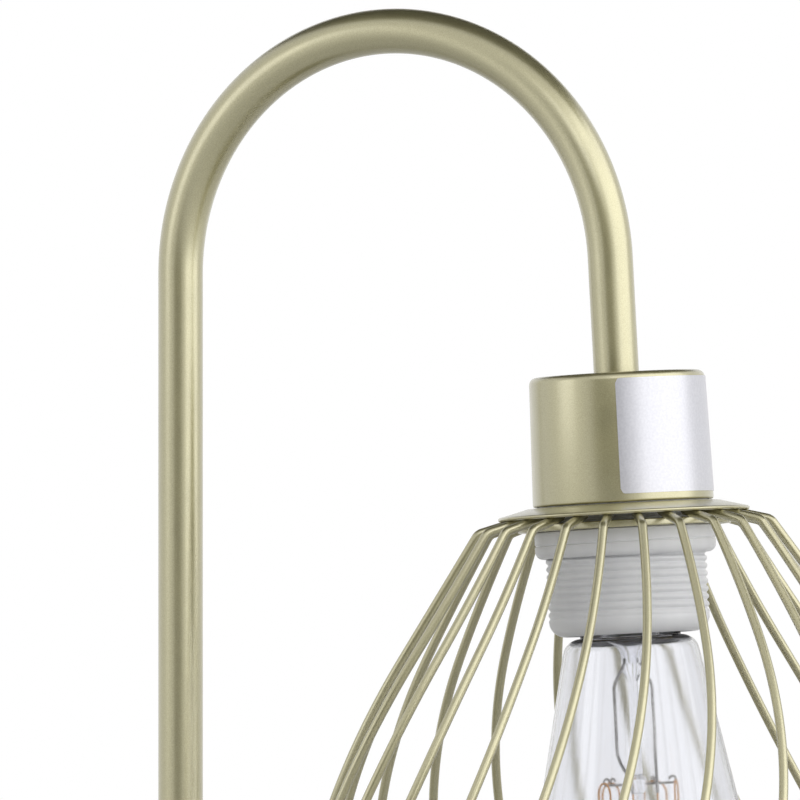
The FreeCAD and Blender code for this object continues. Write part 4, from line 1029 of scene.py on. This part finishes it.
# Bulb stem: a flared glass foot, sealed into the neck, that narrows to a flat pinch round the lead wires
# and ends in a rod with a glass bead, from which the hooks stand out.
flare_rise = 0.0024
flare_level = neck_end + flare_rise
flare_radius = 0.011
flare_height = 0.011
flare_hollow = 2.4
stem_wall = 0.0007
pinch_drop = 0.0125
pinch_radius = 0.0028
pinch_level = flare_level - pinch_drop
pinch_flatness = 0.55
pinch_round = 0.001
rod_radius = 0.0013
rod_root_round = 0.0006
rod_end_round = 0.0008
strand_count = 10
strand_radius = 0.010
strand_drop = 0.031
strand_top = pinch_level - strand_drop
strand_length = 0.042
strand_bottom = strand_top - strand_length
strand_step = FULL_TURN / strand_count
first_strand = -strand_step
loop_radius = strand_radius * math.sin(strand_step / 2)
hook_slack = 0.0006
upper_hook_level = strand_top + loop_radius - hook_slack
lower_hook_level = strand_bottom - loop_radius + hook_slack
bead_radius = 0.0023
bead_round = 0.0008
bead_root_round = 0.0004
stem_tail = 0.0015
stem_end = lower_hook_level - stem_tail
stem_steps = 64
flare_steps = 16


def flare_side(inset):
    """Points down the curved side of the foot, set in from its outside."""
    points = []
    for step in range(flare_steps + 1):
        share = step / flare_steps
        radius = pinch_radius + (flare_radius - pinch_radius) * (1 - share) ** flare_hollow
        points.append((max(radius - inset, 0.0), flare_level - flare_height * share))
    return points


def pinched(point):
    """Flatten the foot towards its pinch and leave the rod round."""
    below = (flare_level - point.z) / flare_height
    above = (point.z - pinch_level) / (pinch_radius * 2) + 1
    press = max(0.0, min(1.0, below, above))
    return Vector((point.x, point.y * (1 - (1 - pinch_flatness) * press ** 2), point.z))


stem_outline = flare_side(0.0)
stem_outline += rounded_outline(
    [
        (pinch_radius, flare_level - flare_height, 0),
        (pinch_radius, pinch_level, pinch_round),
        (rod_radius, pinch_level - pinch_radius, rod_root_round),
        (rod_radius, upper_hook_level + bead_radius, bead_root_round),
        (bead_radius, upper_hook_level + bead_radius / 2, bead_round),
        (bead_radius, upper_hook_level - bead_radius / 2, bead_round),
        (rod_radius, upper_hook_level - bead_radius, bead_root_round),
        (rod_radius, stem_end, rod_end_round),
        (0, stem_end, 0),
    ]
)
stem_outline += [(0, flare_level - flare_height)] + flare_side(stem_wall)[::-1]
stem = turned("glass_stem", stem_outline, head, steps=stem_steps, shape=pinched)
dress(stem, "bulb", "bulb_stem", blown_glass)


# Filament: a fine carbon thread strung up and down round the stem, brown when it is cold. Hooks of drawn
# wire hold its loops, and two stiffer leads carry it from the pinch.
thread_radius = 0.00025
hook_radius = 0.0003
lead_radius = 0.0004
lead_sides = 12
lead_root = pinch_radius * 0.6
lead_spread = 0.0048
lead_bend = 0.010
lead_turn = math.radians(90.0)
lead_steps = 12
loop_steps = 10
curl_steps = 14
curl_turn = FULL_TURN * 3 / 4
curl_radius = 0.0008
thread_sides = 8


def carbon_thread():
    """Carbon thread: brown and dull, with a faint warm glow painted on by emission, though the lamp is
    off.
    """
    material, nodes, links, shader = new_material("carbon_thread")
    twist = grain(nodes, links, 1200.0, 2.0)
    shade_between(nodes, links, twist, (0.16, 0.07, 0.02), (0.30, 0.14, 0.04), shader)
    shader.inputs["Roughness"].default_value = 0.6
    # Painted glow: the cold thread is given a faint warm emission, not lit by any lamp.
    shader.inputs["Emission Color"].default_value = (1.0, 0.50, 0.14, 1)
    shader.inputs["Emission Strength"].default_value = 0.25
    return material


def support_wire():
    """Drawn molybdenum and nickel wire: dark grey metal."""
    material, nodes, links, shader = new_material("support_wire")
    drawing = grain(nodes, links, 800.0, 2.0)
    shade_between(nodes, links, drawing, (0.22, 0.21, 0.20), (0.36, 0.35, 0.34), shader)
    shader.inputs["Metallic"].default_value = 1.0
    shader.inputs["Roughness"].default_value = 0.35
    return material


def strand_point(number, level):
    """A point of one straight strand, about the head's axis."""
    angle = first_strand + number * strand_step
    return Vector((strand_radius * math.cos(angle), strand_radius * math.sin(angle), level))


def thread_path():
    """Points along the whole thread, down one strand, round a loop and up the next."""
    path = []
    for number in range(strand_count):
        levels = (strand_top, strand_bottom) if number % 2 == 0 else (strand_bottom, strand_top)
        start, end = strand_point(number, levels[0]), strand_point(number, levels[1])
        path += [start, end]
        if number < strand_count - 1:
            beside = strand_point(number + 1, levels[1])
            middle, half = (end + beside) / 2, (end - beside) / 2
            way = (end - start).normalized() * loop_radius
            for step in range(1, loop_steps):
                angle = math.pi * step / loop_steps
                path.append(middle + half * math.cos(angle) + way * math.sin(angle))
    return path


def hook_path(root_radius, level):
    """Points along one hook, from its root to the curl round the thread."""
    reach = strand_radius * math.cos(strand_step / 2)
    path = [Vector((root_radius, 0, level)), Vector((reach - curl_radius, 0, level))]
    side = 1 if level > strand_bottom else -1
    for step in range(1, curl_steps + 1):
        angle = curl_turn * step / curl_steps
        along = reach - curl_radius + curl_radius * math.sin(angle)
        path.append(Vector((along, 0, level + side * curl_radius * (1 - math.cos(angle)))))
    return path


def eased(start, end):
    """Points of a smooth double bend that leaves its start and meets its end straight down."""
    path = []
    for step in range(1, lead_steps + 1):
        share = step / lead_steps
        swing = share * share * (3 - 2 * share)
        point = start.lerp(end, swing)
        point.z = start.z + (end.z - start.z) * share
        path.append(point)
    return path


def lead_path(number, side):
    """Points along one lead, out of the pinch, down beside the rod and over to its end of the thread."""
    angle = first_strand - strand_step / 2 + side * lead_turn
    outward = Vector((math.cos(angle), math.sin(angle), 0))
    upward = Vector((0, 0, 1))
    tip = strand_point(number, strand_top + lead_radius * 2)
    root = outward * lead_root + upward * (pinch_level + pinch_radius)
    spread = outward * lead_spread + upward * (pinch_level - lead_spread)
    bend = outward * lead_spread + upward * (tip.z + lead_bend)
    return [root] + eased(root, spread) + [bend] + eased(bend, tip) + [strand_point(number, strand_top)]


def in_head(path):
    """The points of a path in their place on the head's axis."""
    return [head @ point for point in path]


drawn_wire = support_wire()
thread = swept_piece("carbon_filament", [in_head(thread_path())], thread_radius, thread_sides)
dress(thread, "bulb", "filament", carbon_thread())
lead_paths = [in_head(lead_path(0, 1)), in_head(lead_path(strand_count - 1, -1))]
leads = swept_piece("bulb_lead_wires", lead_paths, lead_radius, lead_sides)
dress(leads, "bulb", "bulb_leads", drawn_wire)
hook_tree, hook_inputs = wire_ring_tree("filament_hooks", drawn_wire)
hook_rows = [
    ("upper_hooks", bead_radius - hook_radius, upper_hook_level, strand_count // 2 - 1, 1.5),
    ("lower_hooks", rod_radius - hook_radius, lower_hook_level, strand_count // 2, 0.5),
]
hook_work = bmesh.new()
for row_name, root_radius, level, count, first in hook_rows:
    row = made_by_nodes(
        row_name,
        path_object(row_name, hook_path(root_radius, level)),
        hook_tree,
        hook_inputs,
        {
            "Wire count": count,
            "Step angle": strand_step * 2,
            "Wire radius": hook_radius,
            "Wire sides": thread_sides,
            "First angle": first_strand + strand_step * first,
            "Head tilt": (0.0, -head_tilt, 0.0),
            "Head place": tuple(head_top),
        },
    )
    hook_work.from_mesh(row.data)
    bpy.data.objects.remove(row)
hook_mesh = bpy.data.meshes.new("thread_hooks")
hook_work.to_mesh(hook_mesh)
hook_work.free()
hooks = new_piece("thread_hooks", hook_mesh, wire_smooth_angle)
dress(hooks, "bulb", "filament_hooks", drawn_wire)

# Studio: a pale floor that keeps the lamp's shadow, a white surround, soft lamps, the brightest one on the
# right, and black cloths before and above the lamp that give the paint its darker bands.
floor_radius = 4.0
floor_level = -0.0002
floor_colour = (0.86, 0.86, 0.86, 1)
floor_roughness = 0.9
paleness_by_lamp = 0.25
shadow_reach = 0.35
white_reach = 1.9
surround_light = 0.42


def seen_by_eye(nodes, links):
    """One for what is seen, also in reflections and through glass, and none for what lights the lamp."""
    path = nodes.new("ShaderNodeLightPath")
    seen = path.outputs["Is Camera Ray"]
    for ray in ("Is Glossy Ray", "Is Transmission Ray"):
        either = nodes.new("ShaderNodeMath")
        either.operation = "MAXIMUM"
        links.new(seen, either.inputs[0])
        links.new(path.outputs[ray], either.inputs[1])
        seen = either.outputs["Value"]
    return seen


def studio_floor():
    """A large round floor, paler to the eye than its light, and white beyond the lamp's shadow."""
    mesh = bpy.data.meshes.new("studio_floor")
    work = bmesh.new()
    level = Matrix.Translation((0, 0, floor_level))
    bmesh.ops.create_circle(work, cap_ends=True, segments=128, radius=floor_radius, matrix=level)
    work.to_mesh(mesh)
    work.free()
    piece = bpy.data.objects.new("studio_floor", mesh)
    bpy.context.scene.collection.objects.link(piece)
    material, nodes, links, shader = new_material("studio_floor")
    shader.inputs["Base Color"].default_value = floor_colour
    shader.inputs["Roughness"].default_value = floor_roughness
    place = nodes.new("ShaderNodeTexCoord")
    distance = nodes.new("ShaderNodeVectorMath")
    distance.operation = "LENGTH"
    paleness = nodes.new("ShaderNodeMapRange")
    paleness.interpolation_type = "SMOOTHSTEP"
    paleness.inputs["From Min"].default_value = shadow_reach
    paleness.inputs["From Max"].default_value = white_reach
    paleness.inputs["To Min"].default_value = paleness_by_lamp
    share = nodes.new("ShaderNodeMath")
    share.operation = "MULTIPLY"
    white = nodes.new("ShaderNodeEmission")
    mixed = nodes.new("ShaderNodeMixShader")
    links.new(place.outputs["Object"], distance.inputs[0])
    links.new(distance.outputs["Value"], paleness.inputs["Value"])
    links.new(paleness.outputs["Result"], share.inputs[0])
    links.new(seen_by_eye(nodes, links), share.inputs[1])
    links.new(share.outputs["Value"], mixed.inputs[0])
    links.new(shader.outputs["BSDF"], mixed.inputs[1])
    links.new(white.outputs["Emission"], mixed.inputs[2])
    links.new(mixed.outputs["Shader"], nodes["Material Output"].inputs["Surface"])
    mesh.materials.append(material)
    return piece


floor = studio_floor()


def white_surround():
    """A world that is white to the eye and in reflections, and lights the lamp more gently."""
    world = bpy.data.worlds.new("white_surround")
    world.use_nodes = True
    nodes, links = world.node_tree.nodes, world.node_tree.links
    background = nodes["Background"]
    background.inputs["Color"].default_value = (1, 1, 1, 1)
    strength = nodes.new("ShaderNodeMapRange")
    strength.inputs["To Min"].default_value = surround_light
    strength.inputs["To Max"].default_value = 1.0
    links.new(seen_by_eye(nodes, links), strength.inputs["Value"])
    links.new(strength.outputs["Result"], background.inputs["Strength"])
    bpy.context.scene.world = world


white_surround()


def soft_lamp(name, place, aim, width, power):
    """A square studio lamp that the eye doesn't see directly."""
    light = bpy.data.lights.new(name, "AREA")
    light.size = width
    light.energy = power
    lamp = bpy.data.objects.new(name, light)
    lamp.location = place
    lamp.rotation_mode = "QUATERNION"
    lamp.rotation_quaternion = (Vector(aim) - Vector(place)).to_track_quat("-Z", "Y")
    lamp.visible_camera = False
    bpy.context.scene.collection.objects.link(lamp)
    return lamp


def round_about(degrees, distance, level):
    """A place round the lamp, counted from the front towards the right."""
    angle = math.radians(degrees)
    return Vector((math.sin(angle) * distance, -math.cos(angle) * distance, level))


lamp_aim = (0.0, 0.0, 0.3)
soft_lamp("key_lamp", round_about(88.0, 2.0, 1.0), lamp_aim, 3.2, 45.0)
soft_lamp("fill_lamp", round_about(-43.0, 1.6, 0.7), lamp_aim, 0.7, 2.0)
soft_lamp("top_lamp", round_about(27.0, 1.5, 1.3), lamp_aim, 0.7, 2.0)


def black_cloth():
    """Matt black cloth."""
    material, nodes, links, shader = new_material("black_cloth")
    shader.inputs["Base Color"].default_value = (0.02, 0.02, 0.02, 1)
    shader.inputs["Roughness"].default_value = 1.0
    return material


def hang_cloth(name, corners, material):
    """A cloth between its corners, seen only in reflections."""
    work = bmesh.new()
    work.faces.new([work.verts.new(corner) for corner in corners])
    mesh = bpy.data.meshes.new(name)
    work.to_mesh(mesh)
    work.free()
    mesh.materials.append(material)
    cloth = bpy.data.objects.new(name, mesh)
    cloth.visible_camera = False
    cloth.visible_transmission = False
    bpy.context.scene.collection.objects.link(cloth)


matt_black = black_cloth()
hang_cloth(
    "front_cloth",
    [
        round_about(-7.0, 4.6, 0.0),
        round_about(33.0, 4.6, 0.0),
        round_about(33.0, 4.6, 1.6),
        round_about(-7.0, 4.6, 1.6),
    ],
    matt_black,
)
hang_cloth(
    "ceiling_cloth",
    [
        round_about(100.0, 1.68, 2.2),
        round_about(314.0, 1.68, 2.2),
        round_about(235.0, 3.8, 2.2),
        round_about(179.0, 3.8, 2.2),
    ],
    matt_black,
)

# Camera: level with the lamp head, far away and to the right of the arch's plane, with a long lens that
# frames the arch and the upper half of the shade.
camera_azimuth = math.radians(27.0)
camera_elevation = math.radians(0.1)
camera_distance = 4.0
view_width = 0.2
camera_aim = Vector((0.007, 0.0, 0.3423))
camera_back = Vector(
    (
        math.sin(camera_azimuth) * math.cos(camera_elevation),
        -math.cos(camera_azimuth) * math.cos(camera_elevation),
        math.sin(camera_elevation),
    )
)
lens = bpy.data.cameras.new("photo_camera")
lens.lens = lens.sensor_width * camera_distance / view_width
lens.clip_end = 100.0
camera = bpy.data.objects.new("photo_camera", lens)
camera.location = camera_aim + camera_back * camera_distance
camera.rotation_mode = "QUATERNION"
camera.rotation_quaternion = (-camera_back).to_track_quat("-Z", "Y")
bpy.context.scene.collection.objects.link(camera)
bpy.context.scene.camera = camera
bpy.context.scene.view_settings.view_transform = "Standard"
